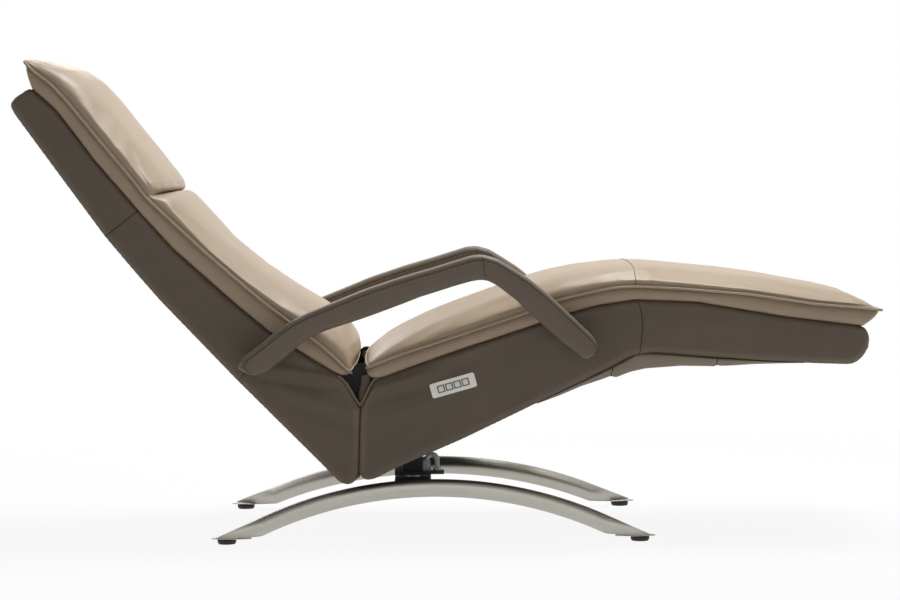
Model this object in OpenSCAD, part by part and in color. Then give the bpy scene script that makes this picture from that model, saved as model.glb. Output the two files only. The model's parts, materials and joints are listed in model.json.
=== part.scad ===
// Reclining massage lounger on two leaning steel arches, drawn lying back.
// +X runs from the head end to the foot end, +Y to the sitter's left, +Z up, and the floor is z = 0.
// Outlines are given as shares of the body's length (x) and of the shell's height (z).

/* [Body] */
// Length of the upholstered body from head end to foot end
body_l = 1656; // [1560:1:1740]
// Height of the shell's head end above the floor
body_h = 871; // [850:1:910]
// Width over the side panels
body_w = 540; // [500:1:600]
// Thickness of an upholstered side panel
panel_t = 22; // [20:1:26]
// Thickness of the rear, belly and foot covers
cover_t = 8; // [5:1:10]
// Thickness of the plywood boards under the head and leg cushions
board_t = 10; // [8:1:12]
// Thickness of the elastic webbing
web_t = 3; // [2:0.5:4]
// Width of one webbing belt
web_w = 48; // [30:1:60]

/* [Cushions] */
// How far the piping stands out past the side panels
piping_out = 5; // [0:1:10]
// How far a cushion's side is drawn in between shell and piping
side_draw = 8; // [0:1:14]
// Gap between a cushion and the shell under it
cushion_gap = 0.8; // [0.3:0.1:2]
// How far each cushion corner is rounded off in plan beside a hinge
corner_cut = 39; // [36:1:44]

/* [Arms] */
// Width of an upholstered arm
arm_w = 60; // [50:1:75]
// Space between a side panel and the arm beside it
arm_gap = 15; // [12:1:25]
// Diameter of the arm's front pivot pin
arm_pin_d = 12; // [8:0.5:13]
// Diameter of the arm's rear sliding stud
arm_stud_d = 10; // [8:0.5:11]
// Thickness of the steel bush around the arm's front pin
bush_t = 4; // [3:0.5:4.5]

/* [Base] */
// Centre-line radius of an arch in its own plane
arch_r = 690; // [640:1:760]
// Radial thickness of the arch tube
arch_t = 28; // [24:1:30]
// Width of the arch tube across its plane
arch_w = 40; // [34:1:44]
// Lean of each arch from upright, towards the middle
arch_lean = 38; // [34:1:42]
// Distance between glide centres along the chair
foot_pitch_x = 788; // [740:1:820]
// Distance between glide centres across the chair
foot_pitch_y = 550; // [500:1:600]
// Length of a foot plate
plate_l = 80; // [70:1:100]
// Width of a foot plate
plate_w = 50; // [40:1:60]
// Thickness of a foot plate
plate_t = 4; // [3:0.5:6]
// Diameter of a glide
glide_d = 36; // [30:1:44]
// Height of a glide
glide_h = 8; // [6:0.5:8]

/* [Swivel and tilt] */
// Diameter of the swivel post
post_d = 20; // [16:1:24]
// Length of the hub that the post turns in
hub_h = 29; // [24:1:34]
// Wall of the hub
hub_wall = 14; // [8:1:18]
// Width of the cross member between the arches
cross_w = 72; // [60:1:84]
// Thickness of the cross member
cross_t = 13; // [10:1:16]
// Height of the bearing ring between hub and turntable
ring_h = 8; // [6:1:9]
// Thickness of the turntable plate
table_t = 7; // [5:1:8]
// Diameter of the tilt pin
tilt_pin_d = 16; // [12:1:18]
// Distance between the outer faces of the tilt bracket's ears
ear_span = 92; // [80:1:100]
// Thickness of an ear
ear_t = 6; // [5:1:8]

/* [Frames and hinges] */
// Diameter of the side rails of the seat and back frames
rail_d = 25; // [20:1:26]
// Diameter of the cross tubes and of the head and leg rails
tube_d = 20; // [16:1:22]
// Thickness of a hinge leaf
leaf_t = 3.7; // [3:0.1:3.8]
// Diameter of the hinge pins
hinge_pin_d = 12; // [8:0.5:13]
// Steel left around a hinge pin
leaf_rim = 4; // [3:0.5:5]

/* [Actuators] */
// Diameter of an actuator rod
rod_d = 14; // [10:1:16]
// Diameter of an actuator's outer tube
sleeve_d = 26; // [22:1:28]
// Side of an actuator's square gear housing
gear_w = 42; // [36:1:44]
// Diameter of the pin that a rod pushes on
push_pin_d = 10; // [8:0.5:10]

/* [Controls] */
// Length of the control plate
plate_long = 88; // [80:1:100]
// Height of the control plate
plate_high = 28; // [22:1:30]
// Tilt of the control plate, front end up
plate_tilt = 15.5; // [10:0.5:20]
// Side of a button
button_w = 9.6; // [8:0.1:10.4]
// Distance between buttons
button_pitch = 16; // [15:0.5:18]
// Travel of a button
button_travel = 1.5; // [1:0.1:2]

/* [Hidden] */
$fn = 48;

// Outlines, each point a share of body_l and a share of body_h
back_rear_shares = [[-0.395, 0.673], [-0.362, 0.597], [-0.334, 0.535], [-0.246, 0.358],
    [-0.153, 0.179], [-0.133, 0.143], [-0.126, 0.1375], [-0.111, 0.139]];
back_seam_shares = [[-0.1075, 0.152], [-0.1045, 0.3]];
back_front_shares = [[-0.124, 0.362], [-0.152, 0.394], [-0.179, 0.426], [-0.207, 0.46],
    [-0.253, 0.534], [-0.318, 0.646], [-0.3575, 0.73]];
head_front_shares = [[-0.3575, 0.731], [-0.405, 0.836], [-0.449, 0.949], [-0.478, 1]];
head_end_shares = [[-0.493, 0.992], [-0.499, 0.979], [-0.5, 0.964]];
head_rear_shares = [[-0.495, 0.941], [-0.449, 0.815], [-0.3955, 0.674]];
seat_top_shares = [[-0.1035, 0.3], [-0.088, 0.358], [-0.079, 0.359], [-0.054, 0.377],
    [0.005, 0.416], [0.102, 0.476], [0.139, 0.499], [0.17, 0.515], [0.213, 0.527]];
seat_bottom_shares = [[0.19, 0.382], [0.117, 0.311], [0.082, 0.286], [0.013, 0.224],
    [-0.013, 0.203], [-0.04, 0.181], [-0.066, 0.16], [-0.082, 0.149], [-0.099, 0.144], [-0.1065, 0.152]];
leg_top_shares = [[0.2135, 0.527], [0.283, 0.521], [0.382, 0.488], [0.476, 0.463]];
leg_end_shares = [[0.481, 0.445], [0.48, 0.418], [0.466, 0.387]];
leg_bottom_shares = [[0.418, 0.388], [0.308, 0.398], [0.2335, 0.41]];
sling_shares = [[0.108, 0.301], [0.161, 0.34], [0.185, 0.357], [0.213, 0.371], [0.246, 0.377],
    [0.304, 0.377], [0.312, 0.383], [0.418, 0.384]];

// Piping and mid-width crown lines of the four cushions
back_piping_shares = [[-0.116, 0.371], [-0.146, 0.429], [-0.184, 0.483], [-0.22, 0.537],
    [-0.274, 0.626], [-0.318, 0.705], [-0.343, 0.75]];
back_crown_shares = [[-0.1155, 0.376], [-0.108, 0.409], [-0.1115, 0.436], [-0.121, 0.463],
    [-0.147, 0.507], [-0.18, 0.544], [-0.223, 0.597], [-0.264, 0.661], [-0.303, 0.747],
    [-0.312, 0.765], [-0.321, 0.768]];
head_piping_shares = [[-0.3535, 0.762], [-0.361, 0.793], [-0.405, 0.894], [-0.437, 0.97],
    [-0.455, 1.007], [-0.475, 1.035], [-0.486, 1.057]];
head_crown_shares = [[-0.336, 0.778], [-0.3235, 0.786], [-0.3245, 0.799], [-0.34, 0.832],
    [-0.37, 0.907], [-0.402, 0.974], [-0.42, 1.013], [-0.438, 1.038], [-0.464, 1.057], [-0.486, 1.063]];
seat_piping_shares = [[-0.094, 0.383], [-0.061, 0.409], [0.005, 0.449], [0.091, 0.502],
    [0.124, 0.527], [0.159, 0.543], [0.192, 0.555], [0.213, 0.555]];
seat_crown_shares = [[-0.101, 0.388], [-0.097, 0.405], [-0.074, 0.44], [-0.056, 0.457],
    [0.007, 0.505], [0.06, 0.541], [0.095, 0.565], [0.123, 0.58], [0.158, 0.592], [0.199, 0.599],
    [0.213, 0.599]];
leg_piping_shares = [[0.2137, 0.555], [0.264, 0.551], [0.345, 0.537], [0.418, 0.515], [0.491, 0.503]];
leg_crown_shares = [[0.2137, 0.599], [0.231, 0.598], [0.272, 0.591], [0.326, 0.581],
    [0.376, 0.567], [0.43, 0.544], [0.472, 0.526], [0.5, 0.503]];

// Top and underside of an arm
arm_top_shares = [[-0.243, 0.39], [-0.237, 0.41], [-0.216, 0.44], [-0.202, 0.462],
    [-0.182, 0.489], [-0.163, 0.507], [-0.138, 0.526], [-0.099, 0.556], [-0.056, 0.583],
    [-0.017, 0.604], [0.007, 0.618], [0.024, 0.628], [0.037, 0.63], [0.053, 0.622],
    [0.067, 0.606], [0.089, 0.579], [0.111, 0.545], [0.139, 0.495], [0.161, 0.454], [0.166, 0.432]];
arm_under_shares = [[-0.229, 0.375], [-0.22, 0.373], [-0.208, 0.382], [-0.195, 0.4],
    [-0.175, 0.432], [-0.163, 0.451], [-0.14, 0.47], [-0.1, 0.494], [-0.056, 0.524],
    [-0.034, 0.54], [0.005, 0.563], [0.024, 0.573], [0.035, 0.576], [0.043, 0.574],
    [0.053, 0.564], [0.074, 0.533], [0.088, 0.507], [0.124, 0.444], [0.146, 0.41], [0.16, 0.42]];

// Places in the side view, again as shares of body_l and body_h
back_pivot_share = [-0.103, 0.373];
knee_pivot_share = [0.214, 0.51];
head_pivot_share = [-0.349, 0.741];
tilt_pivot_share = [-0.045, 0.23];
arm_front_share = [0.155, 0.431];
arm_rear_share = [-0.227, 0.393];
arm_slot_end_share = [-0.24, 0.385];
controls_share = [0.003, 0.343];
back_push_share = [-0.085, 0.281];
leg_push_share = [0.227, 0.441];
back_sleeve_share = [0.0169, 0.0845];
leg_sleeve_share = [0.0374, 0.064];
back_rail_shares = [[-0.141, 0.308], [-0.359, 0.667]];
back_tube_shares = [[-0.141, 0.308], [-0.226, 0.448], [-0.359, 0.667]];
seat_rail_shares = [[-0.082, 0.316], [0.193, 0.48]];
seat_tube_shares = [[-0.072, 0.322], [-0.012, 0.358], [0.09, 0.4185], [0.184, 0.4745]];
leg_rail_shares = [[0.237, 0.5], [0.462, 0.4405]];
leg_tube_shares = [[0.237, 0.5], [0.35, 0.4701], [0.462, 0.4405]];
head_rail_shares = [[-0.3775, 0.731], [-0.458, 0.922]];
back_leaf_bend_share = [-0.121, 0.3];
seat_leaf_bend_share = [-0.097, 0.31];
seat_belts_share = [[0.04, 0.1], [0.24, 0.3], [0.44, 0.5], [0.64, 0.7], [0.86, 0.92]];
back_belts_share = [[0.06, 0.12], [0.26, 0.32], [0.46, 0.52], [0.66, 0.72], [0.87, 0.93]];
belt_rows_share = [-0.36, -0.12, 0.12, 0.36];
base_x_share = -0.021;
swivel_x_share = -0.045;
belly_hole_shares = [-0.076, -0.014];
control_box_share = [0.042, 0.32];
motor_rows_share = 0.16;

function place(share) = [share[0] * body_l, share[1] * body_h];
function line(shares) = [for (s = shares) place(s)];
function reversed(list) = [for (i = [len(list) - 1:-1:0]) list[i]];
function sums(list) = [for (i = 0, s = 0; i <= len(list); s = s + (i < len(list) ? list[i] : 0), i = i + 1) s];
function steps(path) = [for (i = [0:len(path) - 2]) norm(path[i + 1] - path[i])];
function spot(path, marks, d, i) =
    i >= len(path) - 2 || d <= marks[i + 1]
        ? path[i] + (path[i + 1] - path[i]) * (d - marks[i]) / (marks[i + 1] - marks[i])
        : spot(path, marks, d, i + 1);
// The point at a share t of a path's length
function along(path, t) = let (marks = sums(steps(path))) spot(path, marks, t * marks[len(marks) - 1], 0);
function unit(v) = v / norm(v);
function left_of(v) = [-v[1], v[0]];
// A path moved sideways by d, to the left of its direction where d is positive
function beside(path, d) = [for (i = [0:len(path) - 1])
    let (
        before = unit(path[max(i, 1)] - path[max(i, 1) - 1]),
        after = unit(path[min(i, len(path) - 2) + 1] - path[min(i, len(path) - 2)]),
        middle = unit(left_of(before) + left_of(after)))
    path[i] + middle * d / max(0.5, middle * left_of(after))];
function turned(p, about, a) = about + [
    (p - about)[0] * cos(a) + (p - about)[1] * sin(a), -(p - about)[0] * sin(a) + (p - about)[1] * cos(a)];
function part_of(path, from, to) = let (n = 8) [for (i = [0:n]) along(path, from + (to - from) * i / n)];

back_rear = line(back_rear_shares);
back_seam = line(back_seam_shares);
back_front = line(back_front_shares);
head_front = line(head_front_shares);
head_end = line(head_end_shares);
head_rear = line(head_rear_shares);
seat_top = line(seat_top_shares);
seat_bottom = line(seat_bottom_shares);
leg_top = line(leg_top_shares);
leg_end = line(leg_end_shares);
leg_bottom = line(leg_bottom_shares);

// Side view pivots
back_pivot = place(back_pivot_share);
knee_pivot = place(knee_pivot_share);
head_pivot = place(head_pivot_share);
tilt_pivot = place(tilt_pivot_share);
arm_front = place(arm_front_share);
arm_rear = place(arm_rear_share);
back_push = place(back_push_share);
leg_push = place(leg_push_share);

// Travel of the joints, in degrees
back_raise = 22;
leg_fold = 38;

// Clearances, and how far heads, rings, lugs and welds reach beyond what they hold
running = 0.3;
bearing = 0.05;
head_lip = 3;
cap_lip = 5;
ring_wall = 4;
ear_wall = 7;
tube_wrap = 2;
weld_in = 1;
pin_set = 2;

// Widths across the body, measured from its middle
leaf_gap = 0.5;
rail_leaf_t = 6;
side_out = body_w / 2;
side_in = side_out - panel_t;
outer_leaf = [side_in - leaf_t - running, side_in - running];
inner_leaf = [outer_leaf[0] - leaf_gap - rail_leaf_t, outer_leaf[0] - leaf_gap];
rail_y = inner_leaf[1] - rail_d / 2 - rail_leaf_t / 2;
leaf_r = hinge_pin_d / 2 + leaf_rim;
bend_r = leaf_r + weld_in;
pin_head_r = hinge_pin_d / 2 + head_lip;
pin_head_t = 4;
arm_in = side_out + arm_gap;
arm_mid = arm_in + arm_w / 2;
overrun = 40;
big = 3000;

// Base heights, from the floor up
plate_top = glide_h + plate_t;
base_x = base_x_share * body_l;
swivel_x = swivel_x_share * body_l;
foot_x = foot_pitch_x / 2;
foot_y = foot_pitch_y / 2;
tube_inset = 26;
arch_chord = foot_x - tube_inset;
arch_rise = arch_r - sqrt(arch_r * arch_r - arch_chord * arch_chord);
arch_top_z = plate_top + arch_rise * cos(arch_lean);
arch_top_y = foot_y - arch_rise * sin(arch_lean);
weld_gap = 0.2;
cross_top = arch_top_z;
table_z = cross_top + ring_h;
table_top = table_z + table_t;

// Shapes drawn in the side view are extruded across the body between two places on the Y axis
module across(from, to) {
    translate([0, to, 0]) rotate([90, 0, 0]) linear_extrude(to - from) children();
}

// The same on one side only, -1 the right and 1 the left, between two distances from the middle
module on_side(side, from, to) {
    across(side < 0 ? -to : from, side < 0 ? -from : to) children();
}

// A flat link: two discs joined by their outer tangents
module link(a, b, ra, rb) {
    d = norm(b - a);
    u = unit(b - a);
    n = left_of(u);
    lean = (ra - rb) / d;
    m = sqrt(1 - lean * lean);
    translate(a) circle(ra);
    translate(b) circle(rb);
    polygon([a + (u * lean + n * m) * ra, b + (u * lean + n * m) * rb,
        b + (u * lean - n * m) * rb, a + (u * lean - n * m) * ra]);
}

// A round bar along Y at a place in the side view
module bar(p, r, from, to) {
    across(from, to) translate(p) circle(r);
}

module bar_on_side(side, p, r, from, to) {
    on_side(side, from, to) translate(p) circle(r);
}

// A round bar between two places in the side view, at one y
module rail(p, q, r, y) {
    d = q - p;
    translate([p[0], y, p[1]]) rotate([0, atan2(d[0], d[1]), 0]) cylinder(h = norm(d), r = r);
}

// A strip of the given thickness along a path, on its right where the thickness is negative
module strip(path, t) {
    polygon(concat(path, reversed(beside(path, t))));
}

// A closed skin over rings of points, each ring the same length, with a middle point in each end
module skin(rings) {
    m = len(rings[0]);
    n = len(rings);
    polyhedron(
        points = concat([for (r = rings) for (p = r) p], middles(rings)),
        faces = concat(
            [for (i = [0:n - 2]) for (j = [0:m - 1]) let (k = (j + 1) % m)
                [i * m + j, i * m + k, (i + 1) * m + k]],
            [for (i = [0:n - 2]) for (j = [0:m - 1]) let (k = (j + 1) % m)
                [i * m + j, (i + 1) * m + k, (i + 1) * m + j]],
            [for (j = [0:m - 1]) [n * m, (j + 1) % m, j]],
            [for (j = [0:m - 1]) [n * m + 1, (n - 1) * m + j, (n - 1) * m + (j + 1) % m]]));
}

function total(list, i = 0) = i >= len(list) - 1 ? list[i] : list[i] + total(list, i + 1);
function middles(rings) = [for (r = [rings[0], rings[len(rings) - 1]]) total(r) / len(r)];

// A cushion's crown rises from the piping to the middle in a round sweep
crown_steps = 12;
crown_power_share = 0.62;
cushion_rings = 24;
function cushion_ring(low, edge, crown, half) = let (waist = (low + edge) / 2, out = half + piping_out) concat(
    [[low[0], -half + running, low[1]], [waist[0], -half + side_draw, waist[1]], [edge[0], -out, edge[1]]],
    [for (k = [1:crown_steps - 1]) let (
        a = 180 * k / crown_steps,
        p = edge + (crown - edge) * pow(sin(a), crown_power_share))
        [p[0], -out * cos(a), p[1]]],
    [[edge[0], out, edge[1]], [waist[0], half - side_draw, waist[1]], [low[0], half - running, low[1]]]);

// How much of the corner cut is left at a distance from a hinge end, over a stretch of corner_run
corner_run = 62;
function corner_at(d) = d >= corner_run ? 0 : corner_cut * (d < corner_run / 2 ? 1 : 1 - pow(2 * d / corner_run - 1, 2));

// A cushion between its shell line, piping and crown; hinge_start and hinge_end say which ends meet a hinge
module cushion(low, edge, crown, hinge_start, hinge_end) {
    reach = total(steps(low));
    rings = [for (i = [0:cushion_rings]) let (
        t = (1 - cos(180 * i / cushion_rings)) / 2,
        cut = max(hinge_start ? corner_at(t * reach) : 0, hinge_end ? corner_at((1 - t) * reach) : 0))
        cushion_ring(along(low, t), along(edge, t), along(crown, t), side_out - cut)];
    skin(low[len(low) - 1][0] > low[0][0] ? rings : reversed(rings));
}

// Base
// Each arch is a round-edged tube swept along an arc in a leaning plane, its ends cut level on the foot plates
arch_corner_steps = 6;
arch_stations = 28;
foot_sweep = 4;
function arch_section(grow) = let (reach = (arch_w - arch_t) / 2, r = arch_t / 2 + grow)
    [for (s = [1, -1]) for (k = [0:arch_corner_steps]) let (a = (s > 0 ? 0 : 180) + 180 * k / arch_corner_steps)
        [r * cos(a), s * reach + r * sin(a)]];
// A point of the arch: q is its place in the section, a its angle from the top
function arch_point(side, q, a) = let (
    h = arch_rise - arch_r + (arch_r + q[0]) * cos(a),
    x = (arch_r + q[0]) * sin(a))
    [base_x + x, side * (foot_y - h * sin(arch_lean) + q[1] * cos(arch_lean)),
        plate_top + h * cos(arch_lean) + q[1] * sin(arch_lean)];
function arch_foot(side, q, a) = let (
    p = arch_point(side, q, a),
    run = [cos(a), side * sin(a) * sin(arch_lean), -sin(a) * cos(arch_lean)])
    p - run * (p[2] - plate_top) / run[2];
module arch(side, grow) {
    section = arch_section(grow);
    sweep = asin(arch_chord / arch_r);
    near = sweep - foot_sweep;
    rings = [for (i = [-1:arch_stations + 1]) let (a = -near + 2 * near * max(0, min(1, i / arch_stations)))
        [for (q = section) i < 0 || i > arch_stations ? arch_foot(side, q, a) : arch_point(side, q, a)]];
    skin(side > 0 ? rings : reversed(rings));
}

module base_arch_right() { color([0.62, 0.6, 0.57]) arch(-1, 0); }
module base_arch_left() { color([0.62, 0.6, 0.57]) arch(1, 0); }

module at_feet() {
    for (sx = [-1, 1]) for (sy = [-1, 1]) translate([base_x + sx * foot_x, sy * foot_y, 0])
        scale([sx, sy, 1]) children();
}

plate_shift = -20;
module foot_plates() {
    color([0.6, 0.58, 0.55]) at_feet() translate([plate_shift, 0, glide_h]) linear_extrude(plate_t)
        rounded(plate_l, plate_w, 2 * plate_t);
}

module foot_glides() {
    color([0.08, 0.08, 0.08]) at_feet() {
        cylinder(h = glide_h / 2, r1 = glide_d / 2 - glide_h / 4, r2 = glide_d / 2);
        translate([0, 0, glide_h / 2]) cylinder(h = glide_h / 2, r = glide_d / 2);
    }
}

module base_cross_member() {
    color([0.09, 0.09, 0.1]) difference() {
        union() {
            translate([swivel_x - cross_w / 2, -arch_top_y, cross_top - cross_t]) cube([cross_w, 2 * arch_top_y, cross_t]);
            translate([swivel_x, 0, cross_top - hub_h]) cylinder(h = hub_h, r = post_d / 2 + hub_wall);
        }
        for (s = [-1, 1]) arch(s, weld_gap);
        translate([swivel_x, 0, cross_top - hub_h - overrun]) cylinder(h = hub_h + 2 * overrun, r = post_d / 2 + bearing);
    }
}

module swivel_ring() {
    color([0.3, 0.3, 0.31]) translate([swivel_x, 0, cross_top]) difference() {
        cylinder(h = ring_h - weld_gap, r = post_d / 2 + ring_wall);
        translate([0, 0, -overrun]) cylinder(h = ring_h + 2 * overrun, r = post_d / 2 + bearing);
    }
}

// Swivel
table_w = 110;
tab_w = 24;
tab_l = 26;
post_cap_t = 3.5;
module turntable() {
    color([0.1, 0.1, 0.11]) union() {
        translate([swivel_x - cross_w / 2, -table_w / 2, table_z]) cube([cross_w, table_w, table_t]);
        translate([swivel_x + cross_w / 2 - tab_w, lead_y - tab_w / 2, table_z]) cube([tab_w + tab_l, tab_w, table_t]);
        translate([swivel_x, 0, cross_top - hub_h - weld_gap]) cylinder(h = table_z - cross_top + hub_h + weld_gap + table_t / 2, r = post_d / 2);
        translate([swivel_x, 0, cross_top - hub_h - weld_gap - post_cap_t]) cylinder(h = post_cap_t, r = post_d / 2 + cap_lip);
    }
}

block_l = 40;
block_h = 19;
ear_foot_r = 18;
ear_r = tilt_pin_d / 2 + ear_wall;
lug_r = ear_r - weld_in;
module tilt_bracket() {
    foot = [swivel_x, table_top + ear_foot_r];
    color([0.13, 0.12, 0.14]) difference() {
        union() {
            translate([swivel_x - block_l / 2, -ear_span / 2, table_top]) cube([block_l, ear_span, block_h]);
            for (s = [-1, 1]) on_side(s, ear_span / 2 - ear_t, ear_span / 2) link(tilt_pivot, foot, ear_r, ear_foot_r);
        }
        bar(tilt_pivot, tilt_pin_d / 2 + bearing, -big / 2, big / 2);
    }
}

lug_t = 6;
lug_gap = 1;
lug_in = ear_span / 2 + lug_gap;
module tilt_pin() {
    color([0.5, 0.5, 0.5]) {
        bar(tilt_pivot, tilt_pin_d / 2, -lug_in - lug_t - running, lug_in + lug_t + running);
        for (s = [-1, 1]) bar_on_side(s, tilt_pivot, tilt_pin_d / 2 + ring_wall, lug_in + lug_t + running, lug_in + lug_t + running + pin_head_t);
    }
}

// Moulded elbow round the motor lead: up out of its connector, over, and down into a gland on the turntable
lead_d = 11;
lead_r = 10.5;
lead_y = -30;
connector_l = 15;
connector_w = 15;
connector_top = table_top + block_h;
lead_x = swivel_x + block_l / 2 + connector_l / 2;
gland_h = 6;
lead_rise = 2;
module lead_fittings() {
    color([0.72, 0.73, 0.72]) {
        translate([swivel_x + block_l / 2, lead_y - connector_w / 2, table_top]) cube([connector_l, connector_w, block_h]);
        translate([lead_x + 2 * lead_r, lead_y, table_top]) cylinder(h = gland_h, r = lead_d / 2 + head_lip);
    }
}

module lead_elbow() {
    color([0.78, 0.79, 0.77]) union() {
        translate([lead_x, lead_y, connector_top]) cylinder(h = lead_rise, r = lead_d / 2);
        translate([lead_x + 2 * lead_r, lead_y, table_top + gland_h])
            cylinder(h = block_h - gland_h + lead_rise, r = lead_d / 2);
        translate([lead_x + lead_r, lead_y, connector_top + lead_rise]) rotate([90, 0, 0])
            rotate_extrude(angle = 180) translate([lead_r, 0]) circle(lead_d / 2);
    }
}

// Seat
seat_colour = [0.29, 0.25, 0.21];
tan = [0.7, 0.62, 0.53];
steel = [0.22, 0.22, 0.23];
knee_gap_x = 0.6;
seat_outline = concat(seat_top, [knee_pivot - [knee_gap_x, 0]], seat_bottom);
leg_outline = concat(leg_top, leg_end, leg_bottom, [knee_pivot + [knee_gap_x, 0]]);
back_outline = concat(back_rear, back_seam, back_front);
head_outline = concat(head_front, head_end, head_rear);

seat_rails = line(seat_rail_shares);
seat_tubes = line(seat_tube_shares);
back_rails = line(back_rail_shares);
back_tubes = line(back_tube_shares);
leg_rails = line(leg_rail_shares);
leg_tubes = line(leg_tube_shares);
head_rails = line(head_rail_shares);
rail_r = rail_d / 2;
tube_r = tube_d / 2;

// Actuators: the line each rod slides along, and how far
back_push_end = turned(back_push, back_pivot, back_raise);
leg_push_end = turned(leg_push, knee_pivot, leg_fold);
back_axis = unit(back_push - back_push_end);
leg_axis = unit(leg_push_end - leg_push);
back_bulge = norm(back_push - back_pivot) * (1 - cos(back_raise / 2));
leg_bulge = norm(leg_push - knee_pivot) * (1 - cos(leg_fold / 2));
eye_play = 0.6;
eye_wall = 4;
eye_w = 10;
// Where each sleeve starts beyond its push pin, and its length
back_sleeve = body_l * back_sleeve_share;
leg_sleeve = body_l * leg_sleeve_share;
hanger_t = 5;
bolt_r = 4;
function back_gear() = back_push + back_axis * (back_sleeve[0] + back_sleeve[1] + gear_w / 2);
function leg_gear() = leg_push + leg_axis * (leg_sleeve[0] + leg_sleeve[1] + gear_w / 2);

module actuator(push, axis, sleeve, gear) {
    difference() {
        union() {
            rail(push + axis * sleeve[0], push + axis * (sleeve[0] + sleeve[1] + weld_in), sleeve_d / 2, 0);
            across(-gear_w / 2, gear_w / 2) translate(gear) rotate(atan2(axis[1], axis[0])) square(gear_w, center = true);
        }
        rail(push, push + axis * (sleeve[0] + sleeve[1]), rod_d / 2 + bearing, 0);
        bar(gear, bolt_r + bearing, -big / 2, big / 2);
    }
}

module push_rod(push, axis, bulge, sleeve, out) {
    bore = push_pin_d / 2 + bulge / 2 + eye_play;
    centre = push + out * bulge / 2;
    difference() {
        union() {
            bar(centre, bore + eye_wall, -eye_w / 2, eye_w / 2);
            rail(push + axis * bore, push + axis * (sleeve[0] + sleeve[1] / 2), rod_d / 2, 0);
        }
        bar(centre, bore, -big / 2, big / 2);
    }
}

module side_rails(ends, r) {
    for (s = [-1, 1]) rail(ends[0], ends[1], r, s * rail_y);
}

// Short bosses that hold the side panels on the rails
standoff_r = 7;
standoff_shares = [0.2, 0.5, 0.8];
module standoffs(ends) {
    for (s = [-1, 1]) for (t = standoff_shares)
        bar_on_side(s, ends[0] + (ends[1] - ends[0]) * t, standoff_r, rail_y, side_in);
}

module cross_tubes(places, r) {
    for (p = places) bar(p, r, -rail_y, rail_y);
}

module hinge_bores(p) {
    bar(p, hinge_pin_d / 2 + bearing, -big / 2, big / 2);
}

lever_gap = 2.5;
lever_in = eye_w / 2 + lever_gap;
lever_t = 5;
module lever(from, to) {
    for (s = [-1, 1]) on_side(s, lever_in, lever_in + lever_t) link(from, to, tube_r + tube_wrap, push_pin_d / 2 + cap_lip);
    bar(to, push_pin_d / 2, -lever_in - lever_t, lever_in + lever_t);
}

module hanger(tube, gear) {
    for (s = [-1, 1]) on_side(s, gear_w / 2 + running, gear_w / 2 + running + hanger_t) link(tube, gear, tube_r + tube_wrap, bolt_r + ear_wall);
}

module seat_frame() {
    color(steel) difference() {
        union() {
            side_rails(seat_rails, rail_r);
            standoffs(seat_rails);
            cross_tubes(seat_tubes, tube_r);
            for (s = [-1, 1]) on_side(s, inner_leaf[0], inner_leaf[1]) {
                link(back_pivot, place(seat_leaf_bend_share), leaf_r, bend_r);
                link(place(seat_leaf_bend_share), seat_rails[0], bend_r, rail_r - weld_in);
                link(knee_pivot, seat_rails[1], leaf_r, rail_r - weld_in);
            }
            for (s = [-1, 1]) on_side(s, lug_in, lug_in + lug_t) {
                link(tilt_pivot, seat_tubes[0], lug_r, tube_r + tube_wrap);
                link(tilt_pivot, seat_tubes[1], lug_r, tube_r + tube_wrap);
            }
            hanger(seat_tubes[1], back_gear());
            hanger(seat_tubes[2], leg_gear());
        }
        bar(tilt_pivot, tilt_pin_d / 2 + bearing, -big / 2, big / 2);
        for (p = [back_gear(), leg_gear()]) bar(p, bolt_r + bearing, -big / 2, big / 2);
        for (p = [back_pivot, knee_pivot]) hinge_bores(p);
    }
}

pocket_gap = 0.3;
housing_w = 80;
housing_h = 22;
housing_depth = 18;
module seat_side(side) {
    color(seat_colour) difference() {
        on_side(side, side_in, side_out) polygon(seat_outline);
        bar_on_side(side, arm_front, arm_pin_d / 2, side_in + pin_set, side_out + overrun);
        if (side < 0) at_controls() translate([-housing_w / 2 - pocket_gap, -overrun, -housing_h / 2 - pocket_gap])
            cube([housing_w + 2 * pocket_gap, housing_depth + pocket_gap + overrun, housing_h + 2 * pocket_gap]);
    }
}

module seat_side_right() { seat_side(-1); }
module seat_side_left() { seat_side(1); }

hole_side = 16;
hole_half_w = ear_span / 2 + hole_side;
module seat_belly_cover() {
    color([0.12, 0.11, 0.11]) difference() {
        across(-side_in, side_in) strip(seat_bottom, -cover_t);
        translate([belly_hole_shares[0] * body_l, -hole_half_w, 0])
            cube([(belly_hole_shares[1] - belly_hole_shares[0]) * body_l, 2 * hole_half_w, body_h / 2]);
    }
}

web_drop = 1;
// Belts along a shell line; way is -1 where the inside lies on the line's right
module webbing(path, belts, way) {
    face = beside(path, way * web_drop);
    color([0.15, 0.15, 0.16]) {
        for (row = belt_rows_share) across(row * 2 * side_in - web_w / 2, row * 2 * side_in + web_w / 2)
            strip(part_of(face, belts[0][0], belts[len(belts) - 1][1]), way * web_t);
        for (b = belts) across(-side_in, side_in) strip(part_of(face, b[0], b[1]), way * web_t);
    }
}

module seat_webbing() { webbing([for (i = [2:8]) seat_top[i]], seat_belts_share, -1); }
module back_webbing() { webbing(back_front, back_belts_share, 1); }

// Massage motors hang under the webbing or the board
motor_r = 28;
motor_h = 23;
nudge_share = 0.01;
module massage(path, t, way, drop, rows) {
    here = along(path, t);
    ahead = unit(along(path, t + nudge_share) - here);
    inward = left_of(ahead) * way;
    color([0.3, 0.3, 0.32]) for (y = rows)
        rail(here + inward * drop, here + inward * (drop + motor_h), motor_r, y);
}

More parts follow.
